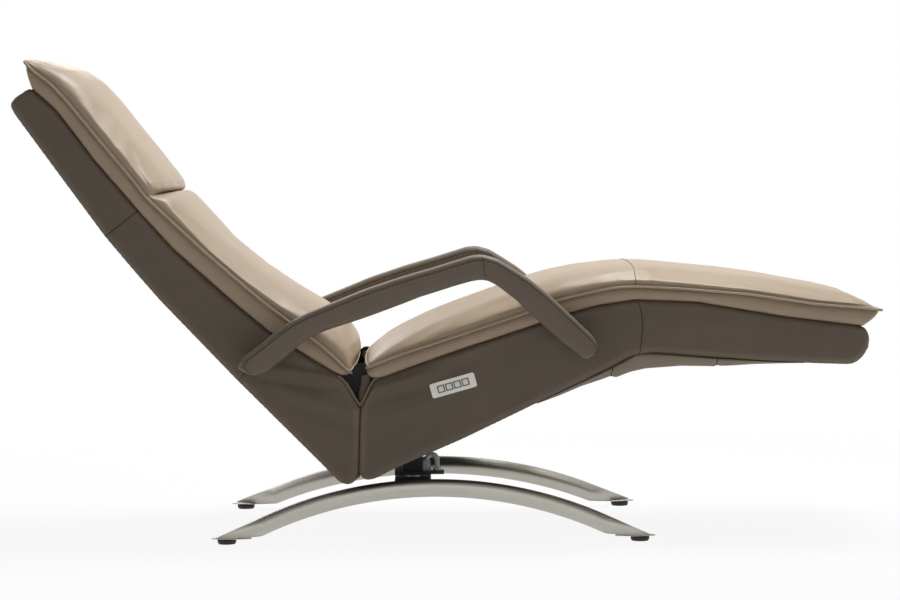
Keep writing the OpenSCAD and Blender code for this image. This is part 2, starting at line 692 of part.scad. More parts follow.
motor_y = motor_rows_share * body_w;
web_under = web_drop + web_t + running;
board_under = board_t + running;
seat_motors_share = 0.47;
back_motors_share = 0.25;
neck_motor_share = 0.36;
calf_motors_share = 0.4;
module seat_massage_motors() { massage(seat_top, seat_motors_share, -1, web_under, [-motor_y, motor_y]); }
module back_massage_motors() { massage(back_front, back_motors_share, 1, web_under, [-motor_y, motor_y]); }
module neck_massage_motor() { massage(head_front, neck_motor_share, 1, board_under, [0]); }
module calf_massage_motors() { massage(leg_top, calf_motors_share, -1, board_under, [-motor_y, motor_y]); }

function shortened(path, d) = concat([for (i = [0:len(path) - 2]) path[i]],
    [path[len(path) - 1] - unit(path[len(path) - 1] - path[len(path) - 2]) * d]);
cushion_end = 1.6;

module seat_cushion() {
    color(tan) cushion(shortened(beside([for (i = [1:8]) seat_top[i]], cushion_gap), cushion_gap),
        line(seat_piping_shares), line(seat_crown_shares), true, false);
}

module leg_cushion() {
    color(tan) cushion(beside(leg_top, cushion_gap), line(leg_piping_shares), line(leg_crown_shares), false, false);
}

module back_cushion() {
    color(tan) cushion(shortened(beside(back_front, -cushion_gap), cushion_end),
        line(back_piping_shares), line(back_crown_shares), true, true);
}

module head_pillow() {
    color(tan) cushion(reversed(shortened(reversed(beside(head_front, -cushion_gap)), cushion_end)),
        line(head_piping_shares), line(head_crown_shares), true, false);
}

// The soft cover under the knee: a sling, and a folded wedge in each side
sling_t = 3;
sling_drop = 0.6;
sling_half_share = 0.37;
wedge_gap = 0.6;
wedge_top = 14;
wedge_set = 2;
wedge_cover = 3;
module under_knee_cover() {
    color([0.36, 0.31, 0.26]) {
        across(-sling_half_share * body_w, sling_half_share * body_w) strip(beside(line(sling_shares), -sling_drop), sling_t);
        for (s = [-1, 1]) on_side(s, side_in + wedge_set, side_out - wedge_cover) polygon([knee_pivot - [0, wedge_top],
            seat_bottom[0] + [2 * wedge_gap, wedge_gap], leg_bottom[2] + [-2 * wedge_gap, wedge_gap]]);
    }
}

seam_fold_t = 1;
fold_set = 1;
fold_cover = 4;
module back_gusset() {
    color([0.3, 0.2, 0.16]) for (s = [-1, 1]) on_side(s, side_in + fold_set, side_out - fold_cover)
        strip(beside(back_seam, -running), -seam_fold_t);
}

module actuators() {
    color([0.13, 0.13, 0.14]) {
        actuator(back_push, back_axis, back_sleeve, back_gear());
        actuator(leg_push, leg_axis, leg_sleeve, leg_gear());
    }
}

module actuator_bolts() {
    color([0.6, 0.6, 0.6]) for (p = [back_gear(), leg_gear()]) {
        bar(p, bolt_r, -gear_w / 2 - hanger_t - 2 * running, gear_w / 2 + hanger_t + 2 * running);
        for (s = [-1, 1]) bar_on_side(s, p, bolt_r + head_lip, gear_w / 2 + hanger_t + 2 * running,
            gear_w / 2 + hanger_t + 2 * running + pin_head_t);
    }
}

box_l = 100;
box_h = 44;
box_t = 34;
module control_box() {
    color([0.2, 0.2, 0.22]) on_side(1, side_in - box_t, side_in) translate(place(control_box_share))
        rotate(plate_tilt) square([box_l, box_h], center = true);
}

// Controls
module at_controls() {
    p = place(controls_share);
    translate([p[0], -side_out, p[1]]) rotate([0, -plate_tilt, 0]) children();
}

module rounded(w, h, r) {
    square([w - 2 * r, h], center = true);
    square([w, h - 2 * r], center = true);
    for (sx = [-1, 1]) for (sy = [-1, 1]) translate([sx * (w / 2 - r), sy * (h / 2 - r)]) circle(r);
}

// A flat shape on the control face, from one depth to another; depth is negative outside the panel
module on_face(from, to) {
    translate([0, to, 0]) rotate([90, 0, 0]) linear_extrude(to - from) children();
}

module at_buttons() {
    for (i = [0:3]) translate([(i - 1.5) * button_pitch, 0, 0]) children();
}

face_t = 2;
plate_corner = 4;
collar_corner = 2;
collar_root = 1;
button_corner = 1.5;
collar_w = 14;
collar_out = 2.6;
button_out = 3.8;
button_in = 8;
well_depth = 12;
button_gap = 0.3;
module control_plate() {
    color([0.74, 0.71, 0.66]) at_controls() difference() {
        on_face(-face_t, 0) rounded(plate_long, plate_high, plate_corner);
        at_buttons() on_face(-overrun, overrun) square(collar_w + 2 * button_gap, center = true);
    }
}

module switch_housing() {
    color([0.3, 0.32, 0.3]) at_controls() difference() {
        union() {
            on_face(0, housing_depth) square([housing_w, housing_h], center = true);
            at_buttons() on_face(-collar_out, collar_root) rounded(collar_w, collar_w, collar_corner);
        }
        at_buttons() on_face(-overrun, well_depth) square(button_w + 2 * button_gap, center = true);
    }
}

module button(i) {
    color([0.8, 0.79, 0.74]) at_controls() translate([(i - 2.5) * button_pitch, 0, 0])
        on_face(-button_out, button_in) rounded(button_w, button_w, button_corner);
}

module button_1() { button(1); }
module button_2() { button(2); }
module button_3() { button(3); }
module button_4() { button(4); }

module button_springs() {
    color([0.1, 0.1, 0.1]) at_controls() at_buttons() on_face(button_in + button_travel + button_gap, well_depth)
        difference() {
            circle(button_w / 3);
            circle(button_w / 5);
        }
}

module hinge_pins(p) {
    for (s = [-1, 1]) {
        bar_on_side(s, p, hinge_pin_d / 2, inner_leaf[0] - running - weld_in, outer_leaf[1]);
        bar_on_side(s, p, pin_head_r, inner_leaf[0] - running - pin_head_t, inner_leaf[0] - running);
    }
}

module seat_hinge_pins() { color([0.6, 0.6, 0.6]) for (p = [back_pivot, knee_pivot]) hinge_pins(p); }
module head_hinge_pins() { color([0.6, 0.6, 0.6]) hinge_pins(head_pivot); }

// Arms
arm_steps = 16;
arm_rings = 26;
arm_soft_share = 0.62;
arm_flat_share = 0.45;
arm_end_share = 0.86;
bush_len = 26;
bush_r = arm_pin_d / 2 + bush_t;
stud_head_r = arm_stud_d / 2 + head_lip;
stud_set = 3;
bush_end_t = 2;
stud_head_l = 20;
function sign_pow(v, e) = (v < 0 ? -1 : 1) * pow(abs(v), e);
function arm_ring(top, under, y, size) = [for (j = [0:arm_steps - 1]) let (
    a = 360 * j / arm_steps,
    h = (top - under) / 2 * sign_pow(sin(a), arm_soft_share) * size)
    [(top + under)[0] / 2 + h[0], y + sign_pow(cos(a), arm_flat_share) * size * arm_w / 2, (top + under)[1] / 2 + h[1]]];

module arm(side) {
    top = line(arm_top_shares);
    under = line(arm_under_shares);
    color([0.4, 0.36, 0.32]) difference() {
        skin([for (i = [arm_rings:-1:0]) arm_ring(along(top, i / arm_rings), along(under, i / arm_rings),
            side * arm_mid, i == 0 || i == arm_rings ? arm_end_share : 1)]);
        bar_on_side(side, arm_front, bush_r, arm_in - overrun, arm_in + bush_len);
        bar_on_side(side, arm_rear, stud_head_r, arm_in - overrun, arm_in + stud_head_l);
    }
}

module arm_fittings(side) {
    color([0.55, 0.55, 0.55]) {
        difference() {
            bar_on_side(side, arm_front, bush_r, arm_in, arm_in + bush_len);
            bar_on_side(side, arm_front, arm_pin_d / 2 + bearing, arm_in - overrun, arm_in + bush_len - bush_end_t);
        }
        bar_on_side(side, arm_rear, stud_head_r, arm_in, arm_in + stud_head_l);
        bar_on_side(side, arm_rear, arm_stud_d / 2, side_in + stud_set, arm_in + weld_in);
    }
}

module arm_right() { arm(-1); }
module arm_left() { arm(1); }
module arm_fittings_right() { arm_fittings(-1); }
module arm_fittings_left() { arm_fittings(1); }

module arm_pivot_pins() {
    color([0.6, 0.6, 0.6]) for (s = [-1, 1]) {
        bar_on_side(s, arm_front, arm_pin_d / 2, side_in + pin_set, arm_in + bush_len - 2 * bush_end_t);
        bar_on_side(s, arm_front, bush_r + tube_wrap, side_out, arm_in - running);
    }
}

// Back
slot_play = 1.4;
module back_side(side) {
    color(seat_colour) difference() {
        on_side(side, side_in, side_out) polygon(back_outline);
        on_side(side, side_in - overrun, side_out + overrun)
            link(arm_rear, place(arm_slot_end_share), arm_stud_d / 2 + slot_play, arm_stud_d / 2 + slot_play);
    }
}

module back_side_right() { back_side(-1); }
module back_side_left() { back_side(1); }

module outer_leaves(pivot, rail_end, r) {
    for (s = [-1, 1]) {
        on_side(s, outer_leaf[0], outer_leaf[1]) link(pivot, rail_end, leaf_r, r);
        bar_on_side(s, rail_end, r - weld_in, rail_y, outer_leaf[0] + weld_in);
    }
}

module back_frame() {
    bend = place(back_leaf_bend_share);
    color(steel) difference() {
        union() {
            side_rails(back_rails, rail_r);
            standoffs(back_rails);
            cross_tubes(back_tubes, tube_r);
            for (s = [-1, 1]) {
                on_side(s, outer_leaf[0], outer_leaf[1]) {
                    link(back_pivot, bend, leaf_r, bend_r);
                    link(bend, back_rails[0], bend_r, rail_r - weld_in);
                }
                bar_on_side(s, back_rails[0], rail_r - tube_wrap, rail_y, outer_leaf[0] + weld_in);
                on_side(s, inner_leaf[0], inner_leaf[1]) link(head_pivot, back_rails[1], leaf_r, rail_r - weld_in);
            }
            lever(back_tubes[0], back_push);
        }
        for (p = [back_pivot, head_pivot]) hinge_bores(p);
    }
}

module back_rear_cover() { color(seat_colour) across(-side_in, side_in) strip(back_rear, cover_t); }

// Head
module head_side(side) { color(seat_colour) on_side(side, side_in, side_out) polygon(head_outline); }
module head_side_right() { head_side(-1); }
module head_side_left() { head_side(1); }
module head_rear_cover() {
    color(seat_colour) across(-side_in, side_in) strip(concat([head_front[3]], head_end, head_rear), cover_t);
}
head_board_share = [0.1, 0.9];
module head_board() {
    color([0.75, 0.6, 0.42]) across(-side_in, side_in) strip(part_of(head_front, head_board_share[0], head_board_share[1]), board_t);
}

module head_frame() {
    color(steel) difference() {
        union() {
            side_rails(head_rails, tube_r);
            cross_tubes([head_rails[1]], tube_r - weld_in);
            outer_leaves(head_pivot, head_rails[0], tube_r);
        }
        hinge_bores(head_pivot);
    }
}

// Legrest
module leg_side(side) { color(seat_colour) on_side(side, side_in, side_out) polygon(leg_outline); }
module leg_side_right() { leg_side(-1); }
module leg_side_left() { leg_side(1); }
module leg_under_cover() {
    color([0.3, 0.26, 0.22]) across(-side_in, side_in)
        strip(concat([leg_top[3]], leg_end, leg_bottom), -cover_t);
}
leg_board_share = [0.12, 0.95];
module leg_board() {
    color([0.75, 0.6, 0.42]) across(-side_in, side_in) strip(part_of(leg_top, leg_board_share[0], leg_board_share[1]), -board_t);
}

module leg_frame() {
    color(steel) difference() {
        union() {
            side_rails(leg_rails, tube_r);
            cross_tubes(leg_tubes, tube_r - weld_in);
            outer_leaves(knee_pivot, leg_rails[0], tube_r);
            lever(leg_tubes[0], leg_push);
        }
        hinge_bores(knee_pivot);
    }
}

// Rods
rod_out_back = -left_of(back_axis);
rod_out_leg = left_of(leg_axis);
module back_rod() { color([0.7, 0.7, 0.7]) push_rod(back_push, back_axis, back_bulge, back_sleeve, rod_out_back); }
module leg_rod() { color([0.7, 0.7, 0.7]) push_rod(leg_push, leg_axis, leg_bulge, leg_sleeve, rod_out_leg); }

base_arch_right();
base_arch_left();
foot_plates();
foot_glides();
base_cross_member();
swivel_ring();
turntable();
tilt_bracket();
tilt_pin();
lead_fittings();
lead_elbow();
seat_frame();
seat_side_right();
seat_side_left();
seat_belly_cover();
seat_webbing();
seat_cushion();
under_knee_cover();
seat_massage_motors();
actuators();
actuator_bolts();
control_box();
control_plate();
switch_housing();
button_springs();
arm_pivot_pins();
seat_hinge_pins();
back_frame();
back_side_right();
back_side_left();
back_rear_cover();
back_webbing();
back_cushion();
back_massage_motors();
head_hinge_pins();
back_gusset();
head_frame();
head_side_right();
head_side_left();
head_rear_cover();
head_board();
head_pillow();
neck_massage_motor();
leg_frame();
leg_side_right();
leg_side_left();
leg_under_cover();
leg_board();
leg_cushion();
calf_massage_motors();
arm_right();
arm_left();
arm_fittings_right();
arm_fittings_left();
back_rod();
leg_rod();
button_1();
button_2();
button_3();
button_4();
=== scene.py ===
"""Reclining massage lounger: leather cushions, padded hull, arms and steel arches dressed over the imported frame.

Side outlines are shares of the body's length (x) and of the shell's height (z), as in the part's source.
"""
import json
import math
from math import cos, exp, sin
import bmesh
import bpy
import numpy as np
from mathutils import Matrix, Vector, noise
from mathutils.bvhtree import BVHTree
from numpy.linalg import norm


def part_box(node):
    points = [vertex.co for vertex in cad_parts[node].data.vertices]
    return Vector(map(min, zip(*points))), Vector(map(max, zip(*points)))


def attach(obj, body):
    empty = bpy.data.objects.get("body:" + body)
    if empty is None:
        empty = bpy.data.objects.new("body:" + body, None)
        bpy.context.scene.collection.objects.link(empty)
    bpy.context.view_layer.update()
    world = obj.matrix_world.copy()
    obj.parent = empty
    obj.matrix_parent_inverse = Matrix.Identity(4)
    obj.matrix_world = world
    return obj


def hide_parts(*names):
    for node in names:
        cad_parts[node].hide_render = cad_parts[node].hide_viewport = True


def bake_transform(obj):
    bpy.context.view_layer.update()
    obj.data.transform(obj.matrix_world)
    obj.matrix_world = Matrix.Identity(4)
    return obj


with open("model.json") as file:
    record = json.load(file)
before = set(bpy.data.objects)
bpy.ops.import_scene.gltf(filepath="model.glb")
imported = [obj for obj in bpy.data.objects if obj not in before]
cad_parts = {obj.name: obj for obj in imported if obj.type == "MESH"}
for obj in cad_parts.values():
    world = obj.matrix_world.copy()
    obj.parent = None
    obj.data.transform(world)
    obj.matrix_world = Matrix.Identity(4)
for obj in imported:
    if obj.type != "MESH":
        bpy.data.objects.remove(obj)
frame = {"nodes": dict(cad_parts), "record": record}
scene = bpy.context.scene
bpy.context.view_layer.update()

BODY_L, BODY_H = 1.656, 0.871
SIDE_OUT, SIDE_IN = 0.270, 0.248
SKIN_HALF = SIDE_IN - 0.0008
ARM_MID, ARM_HALF = 0.315, 0.030
SIDES = ((-1, "right"), (1, "left"))
SAME_SPOT = 1e-7
BACK_PIVOT = np.array([-0.103 * BODY_L, 0.373 * BODY_H])
KNEE_PIVOT = np.array([0.214 * BODY_L, 0.51 * BODY_H])
HEAD_PIVOT = np.array([-0.349 * BODY_L, 0.741 * BODY_H])


# ---- Camera, lamps and world
def place_lamp(name, spot, target, size, watts, colour=(1, 1, 1)):
    lamp = bpy.data.lights.new(name, "AREA")
    lamp.shape, lamp.size, lamp.size_y = "RECTANGLE", *size
    lamp.energy, lamp.color = watts, colour
    holder = bpy.data.objects.new(name, lamp)
    scene.collection.objects.link(holder)
    aim = (Vector(target) - Vector(spot)).to_track_quat("-Z", "Y")
    holder.matrix_world = Matrix.Translation(spot) @ aim.to_matrix().to_4x4()


camera_data = bpy.data.cameras.new("camera")
camera_data.lens, camera_data.sensor_width = 108, 36
camera = bpy.data.objects.new("camera", camera_data)
scene.collection.objects.link(camera)
camera.matrix_world = (Matrix.Translation((-0.0418, -5.4, 0.699))
                       @ Matrix.Rotation(math.radians(-0.467), 4, "Z")
                       @ Matrix.Rotation(math.radians(90 - 2.65), 4, "X")
                       @ Matrix.Rotation(-0.0075, 4, "Z"))
scene.camera = camera
scene.view_settings.view_transform = "Standard"

place_lamp("top_softbox", (0.68, 0.65, 2.75), (0, 0, 0.4), (2.0, 1.2), 78, (1, 0.99, 0.975))
place_lamp("front_softbox", (-0.3, -4.4, 1.5), (0, 0, 0.35), (3.0, 1.0), 6.5)
place_lamp("rear_softbox", (-1.6, 2.2, 1.6), (-0.2, 0, 0.4), (2.0, 1.0), 18)


# ---- Shader nodes
def link(nt, a, b):
    nt.links.new(a, b)


def add(nt, kind, **values):
    made = nt.nodes.new(kind)
    for key, value in values.items():
        setattr(made, key, value)
    return made


def put(made, **values):
    """Sets input sockets by name, with underscores for spaces."""
    for key, value in values.items():
        made.inputs[key.replace("_", " ")].default_value = value
    return made


def colour_stops(nt, fac, stops):
    ramp = add(nt, "ShaderNodeValToRGB")
    while len(ramp.color_ramp.elements) < len(stops):
        ramp.color_ramp.elements.new(0.5)
    for stop, (at, colour) in zip(ramp.color_ramp.elements, stops):
        stop.position, stop.color = at, (*colour, 1)
    link(nt, fac, ramp.inputs["Fac"])
    return ramp.outputs["Color"]


def sums(nt, kind, a, b):
    made = add(nt, "ShaderNodeMath", operation=kind)
    for socket, value in zip(made.inputs, (a, b)):
        if isinstance(value, (int, float)):
            socket.default_value = value
        else:
            link(nt, value, socket)
    return made.outputs[0]


def weighed(nt, a, part_a, b, part_b):
    return sums(nt, "ADD", sums(nt, "MULTIPLY", a, part_a), sums(nt, "MULTIPLY", b, part_b))


def either_shader(nt, choice, first, second):
    made = add(nt, "ShaderNodeMixShader")
    for socket, source in zip(made.inputs, (choice, first, second)):
        link(nt, source, socket)
    return made.outputs[0]


# What the camera and shiny surfaces see is a white room with a dim ceiling; what lights the part is softer
world = bpy.data.worlds.new("studio")
scene.world = world
world.use_nodes = True
sky = world.node_tree
sky.nodes.clear()
rays = add(sky, "ShaderNodeLightPath")
seen = sums(sky, "MAXIMUM", rays.outputs["Is Camera Ray"],
            sums(sky, "MAXIMUM", rays.outputs["Is Glossy Ray"], rays.outputs["Is Transmission Ray"]))
height = add(sky, "ShaderNodeSeparateXYZ")
link(sky, add(sky, "ShaderNodeTexCoord").outputs["Generated"], height.inputs[0])
room = put(add(sky, "ShaderNodeBackground"), Strength=1.0)
greys = [(at, (grey,) * 3) for at, grey in ((0.0, 1), (0.2, 1), (0.6, 0.55), (0.8, 0.36), (1.0, 0.26))]
link(sky, colour_stops(sky, height.outputs["Z"], greys), room.inputs["Color"])
fill = put(add(sky, "ShaderNodeBackground"), Color=(1, 1, 1, 1), Strength=0.21)
link(sky, either_shader(sky, seen, fill.outputs[0], room.outputs[0]), add(sky, "ShaderNodeOutputWorld").inputs[0])


# ---- Materials
def new_material(name):
    made = bpy.data.materials.new(name)
    made.use_nodes = True
    return made, made.node_tree, made.node_tree.nodes["Principled BSDF"]


def pattern_space(nt, stretch=(1, 1, 1)):
    mapping = add(nt, "ShaderNodeMapping")
    mapping.inputs["Scale"].default_value = stretch
    link(nt, add(nt, "ShaderNodeTexCoord").outputs["Object"], mapping.inputs["Vector"])
    return mapping.outputs["Vector"]


def cloudy(nt, space, scale, detail=4.0, roughness=0.55):
    made = put(add(nt, "ShaderNodeTexNoise"), Scale=scale, Detail=detail, Roughness=roughness)
    link(nt, space, made.inputs["Vector"])
    return made.outputs["Fac"]


def tone(colour, amount):
    return tuple(c * amount for c in colour)


def two_tones(nt, skin, fac, colour, spread):
    stops = [(0.3, tone(colour, 1 - spread)), (0.7, tone(colour, 1 + spread))]
    link(nt, colour_stops(nt, fac, stops), skin.inputs["Base Color"])


def shine(nt, skin, cloud, rough, swing=0.14):
    """Roughness that drifts round its middle value."""
    link(nt, sums(nt, "ADD", sums(nt, "MULTIPLY", cloud, swing), rough - swing / 2), skin.inputs["Roughness"])


def relief(nt, skin, height_in, strength, distance):
    bump = put(add(nt, "ShaderNodeBump"), Strength=strength, Distance=distance)
    link(nt, height_in, bump.inputs["Height"])
    link(nt, bump.outputs["Normal"], skin.inputs["Normal"])


def leather(name, colour, rough, grain=430.0, strength=0.2, spread=0.09, edge_highlight_gain=0.35):
    """Pebbled hide: cells for the grain, slow clouds for the dye, and a painted highlight, paler leather along
    rolled edges, from a per-vertex attribute.
    """
    made, nt, skin = new_material(name)
    space = pattern_space(nt)
    broad, middle, fine = cloudy(nt, space, 3.4, 3), cloudy(nt, space, 27, 5, 0.6), cloudy(nt, space, 210, 3)
    dye = weighed(nt, broad, 0.62, middle, 0.38)
    stops = [(0.32, tone(colour, 1 - spread)), (0.52, colour), (0.72, tone(colour, 1 + spread))]
    # Painted highlight: paler leather where the vertex attribute marks a rolled edge, standing in for the light
    # those edges catch
    edge_lit = add(nt, "ShaderNodeMix", data_type="RGBA")
    edge_highlight = add(nt, "ShaderNodeAttribute", attribute_name="edge_highlight")
    where = sums(nt, "MULTIPLY", edge_highlight.outputs["Fac"], sums(nt, "ADD", middle, 0.15))
    link(nt, where, edge_lit.inputs["Factor"])
    link(nt, colour_stops(nt, dye, stops), edge_lit.inputs["A"])
    edge_lit.inputs["B"].default_value = (*tone(colour, 1 + edge_highlight_gain), 1)
    link(nt, edge_lit.outputs["Result"], skin.inputs["Base Color"])
    shine(nt, skin, middle, rough, 0.2)
    cells = put(add(nt, "ShaderNodeTexVoronoi"), Scale=grain)
    link(nt, space, cells.inputs["Vector"])
    relief(nt, skin, weighed(nt, cells.outputs["Distance"], 0.6, fine, 0.5), strength, 0.0007)
    put(skin, Specular_IOR_Level=0.3)
    return made


def brushed(name, colour, rough, stretch, strength=0.06, metallic=1.0, spread=0.1):
    """Metal with fine lines that run where the pattern is stretched least."""
    made, nt, skin = new_material(name)
    lines, cloud = cloudy(nt, pattern_space(nt, stretch), 1, 6, 0.7), cloudy(nt, pattern_space(nt), 9)
    two_tones(nt, skin, weighed(nt, lines, 0.7, cloud, 0.3), colour, spread)
    shine(nt, skin, lines, rough)
    put(skin, Metallic=metallic)
    relief(nt, skin, lines, strength, 0.0003)
    return made


def moulded(name, colour, rough=0.42, grain=900.0, strength=0.08, spread=0.05):
    """Moulded plastic or rubber with a fine spark texture."""
    made, nt, skin = new_material(name)
    space = pattern_space(nt)
    fine, cloud = cloudy(nt, space, grain, 2), cloudy(nt, space, 30)
    two_tones(nt, skin, cloud, colour, spread)
    shine(nt, skin, cloud, rough)
    relief(nt, skin, fine, strength, 0.0003)
    return made


def woven(name, colour, pitch=0.0022, strength=0.4):
    """Plain weave: two crossed sets of waves, a pitch apart."""
    made, nt, skin = new_material(name)
    space = pattern_space(nt)
    threads = []
    for direction in ("X", "Z"):
        wave = add(nt, "ShaderNodeTexWave", wave_type="BANDS", bands_direction=direction)
        put(wave, Scale=1 / (3.18 * pitch), Distortion=0.5, Detail=1.0)
        link(nt, space, wave.inputs["Vector"])
        threads.append(wave.outputs["Fac"])
    weave = sums(nt, "MULTIPLY", *threads)
    mixed = weighed(nt, weave, 0.5, cloudy(nt, space, 14), 0.5)
    stops = [(0.2, tone(colour, 0.7)), (0.8, tone(colour, 1.4))]
    link(nt, colour_stops(nt, mixed, stops), skin.inputs["Base Color"])
    put(skin, Roughness=0.85)
    relief(nt, skin, weave, strength, 0.0006)
    return made


def veneered(name, colour):
    """Plywood face with its rings stretched to streaks."""
    made, nt, skin = new_material(name)
    rings = cloudy(nt, pattern_space(nt, (6, 60, 90)), 1, 6, 0.6)
    stops = [(0.3, tone(colour, 0.72)), (0.5, colour), (0.7, tone(colour, 1.15))]
    link(nt, colour_stops(nt, rings, stops), skin.inputs["Base Color"])
    put(skin, Roughness=0.6)
    relief(nt, skin, rings, 0.15, 0.0005)
    return made


TAN = leather("tan_leather", (0.43, 0.332, 0.232), 0.40, strength=0.15, spread=0.06, edge_highlight_gain=0.2)
TAN_WELT = leather("tan_welt_leather", (0.46, 0.365, 0.262), 0.42, grain=700, strength=0.1, spread=0.05)
TAN_SEAM = leather("tan_seam_thread", (0.17, 0.125, 0.082), 0.6, grain=900, strength=0.1)
HULL = leather("hull_leather", (0.142, 0.112, 0.083), 0.54, spread=0.1)
HULL_SEAM = leather("hull_seam_thread", (0.022, 0.017, 0.013), 0.7, grain=900, strength=0.1)
ARM = leather("arm_leather", (0.172, 0.138, 0.105), 0.5, spread=0.09)
# Painted light: the sling's leather is kept lighter than the hull's for the light it takes from the white floor
# below
SLING_FLOOR_LIT = leather("sling_leather", (0.32, 0.262, 0.205), 0.55, spread=0.09)
RIM = leather("rim_leather", (0.20, 0.155, 0.115), 0.42, grain=700, strength=0.12)
FLAP = leather("flap_leather", (0.10, 0.073, 0.051), 0.4, grain=560, spread=0.18)
THREAD = moulded("arm_thread", (0.33, 0.28, 0.225), 0.55, 2400, 0.3)
ARM_SEAM = leather("arm_seam_leather", (0.055, 0.043, 0.032), 0.6, grain=900, strength=0.1)
CLOTH = woven("lining_cloth", (0.013, 0.013, 0.014))
STEEL = brushed("brushed_steel", (0.46, 0.44, 0.39), 0.42, (3, 260, 260))
ELBOW = moulded("elbow_plastic", (0.94, 0.95, 0.95), 0.38)
FINISHES = {
    "brushed_steel": STEEL,
    "black_steel": brushed("black_steel", (0.014, 0.014, 0.016), 0.5, (160, 160, 160), 0.12, 0.2, 0.3),
    "frame_steel": brushed("frame_steel", (0.03, 0.03, 0.033), 0.45, (160, 160, 160), 0.1, 0.3, 0.25),
    "zinc": brushed("zinc", (0.42, 0.42, 0.42), 0.32, (120, 120, 120)),
    "chromed_rod": brushed("rod_chrome", (0.68, 0.68, 0.69), 0.14, (60, 60, 60), 0.02),
    "plate_metal": brushed("plate_metal", (0.93, 0.90, 0.83), 0.5, (8, 400, 400), 0.05, 0.15),
    "motor_plastic": moulded("motor_plastic", (0.02, 0.02, 0.023), 0.45),
    "lead_grey": ELBOW,
    "switch_plastic": moulded("switch_plastic", (0.22, 0.215, 0.19), 0.4),
    "button_plastic": moulded("button_plastic", (0.92, 0.91, 0.88), 0.35),
    "glide_rubber": moulded("glide_rubber", (0.008, 0.008, 0.008), 0.6, 500, 0.2),
    "plywood": veneered("plywood", (0.42, 0.28, 0.15)),
    "black_cloth": CLOTH,
    "webbing": woven("webbing_cloth", (0.02, 0.02, 0.022), 0.0036),
    "cushion_leather": TAN, "hull_leather": HULL, "arm_leather": ARM,
    "sling_leather": SLING_FLOOR_LIT, "fold_leather": FLAP}
for part in frame["record"]["subparts"]:
    cad_mesh = frame["nodes"][part["node"]].data
    cad_mesh.materials.clear()
    cad_mesh.materials.append(FINISHES[part["material_slot"]])


# ---- Making pieces
def keep(name, bm, material, edge_highlight=None):
    """Turns a bmesh into a smooth object with its faces outwards. The last argument gives each vertex its share of
    the painted edge highlight.
    """
    bmesh.ops.recalc_face_normals(bm, faces=bm.faces)
    made = bpy.data.meshes.new(name)
    bm.to_mesh(made)
    bm.free()
    made.materials.append(material)
    made.shade_smooth()
    if edge_highlight is not None:
        marks = made.attributes.new("edge_highlight", "FLOAT", "POINT").data
        marks.foreach_set("value", np.asarray(edge_highlight, np.float32))
    piece = bpy.data.objects.new(name, made)
    scene.collection.objects.link(piece)
    return piece


def grid_places(bm, across, along):
    """A grid of quads and, for each vertex, its column and row."""
    bmesh.ops.create_grid(bm, x_segments=across, y_segments=along, size=1)
    return [(v, round((v.co.x + 1) / 2 * across), round((v.co.y + 1) / 2 * along)) for v in bm.verts]


def swept(name, rings, material, capped=True):
    """A skin through closed rings of points, rings[ring][point], its ends filled round a middle point."""
    rings = np.asarray(rings, float)
    count, size = rings.shape[:2]
    bm = bmesh.new()
    ring_mark, point_mark = bm.verts.layers.int.new("ring"), bm.verts.layers.int.new("point")
    for v, ring, point in grid_places(bm, count - 1, size):
        v.co = rings[ring][point % size]
        v[ring_mark], v[point_mark] = ring, point % size
    bmesh.ops.remove_doubles(bm, verts=bm.verts, dist=SAME_SPOT)
    if capped:
        ends = bmesh.ops.holes_fill(bm, edges=bm.edges, sides=0)
        bmesh.ops.poke(bm, faces=ends["faces"])
    return keep(name, bm, material)


def settled(holder):
    """An object with its curve or modifiers worked out."""
    return holder.evaluated_get(bpy.context.evaluated_depsgraph_get())


def corded(name, points, radius, material, closed=False):
    """A round cord along points."""
    line = bpy.data.curves.new(name, "CURVE")
    line.dimensions, line.bevel_depth, line.bevel_resolution = "3D", radius, 2
    line.use_fill_caps = not closed
    strand = line.splines.new("POLY")
    strand.points.add(len(points) - 1)
    for knot, point in zip(strand.points, points):
        knot.co = (*point, 1)
    strand.use_cyclic_u = closed
    holder = bpy.data.objects.new(name + "_line", line)
    scene.collection.objects.link(holder)
    made = bpy.data.meshes.new_from_object(settled(holder))
    bpy.data.objects.remove(holder)
    bm = bmesh.new()
    bm.from_mesh(made)
    bmesh.ops.remove_doubles(bm, verts=bm.verts, dist=SAME_SPOT)
    return keep(name, bm, material)


def belongs(piece, body=None, joint=None, nodes=()):
    """Hides the frame parts a piece stands for and ties it to one body; a piece over a joint, two bodies with the
    stretch between, only has its placement baked into its mesh.
    """
    if nodes:
        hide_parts(*nodes)
    if joint:
        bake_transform(piece)
    else:
        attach(piece, body)


def outline(shares):
    """Shares of the body's length and height as metres."""
    return np.asarray(shares, float) * (BODY_L, BODY_H)


def walked(path):
    """How far along a path each of its points lies."""
    return np.r_[0, np.cumsum(norm(np.diff(path, axis=0), axis=1))]


def paced(count, steady, slow):
    """Shares from 0 to 1: a steady part, and a part that is slow at both ends."""
    share = np.linspace(0, 1, count)
    return steady * share + slow * (0.5 - 0.5 * np.cos(np.pi * share))


def circle_angles(count):
    return np.linspace(0, 2 * np.pi, count, endpoint=False)


def spread_out(path, count=None, at=None):
    """Points along a path, evenly or at shares of its length."""
    path = np.asarray(path, float)
    run = walked(path)
    at = np.linspace(0, 1, count) if at is None else np.asarray(at)
    return np.stack([np.interp(at * run[-1], run, path[:, k]) for k in range(path.shape[1])], 1)


def relaxed(path, passes):
    """A path with each inner point drawn towards its neighbours."""
    path = np.array(path, float)
    for _ in range(passes):
        path[1:-1] = (path[:-2] + 2 * path[1:-1] + path[2:]) / 4
    return path


def eased(shares, at, passes=10):
    """A softened outline, read at shares of its length."""
    return spread_out(relaxed(spread_out(outline(shares), 400), passes), at=at)


def ripple(x, y, z, pitch=1.0):
    return noise.noise(Vector((x * pitch, y * pitch, z * pitch)))


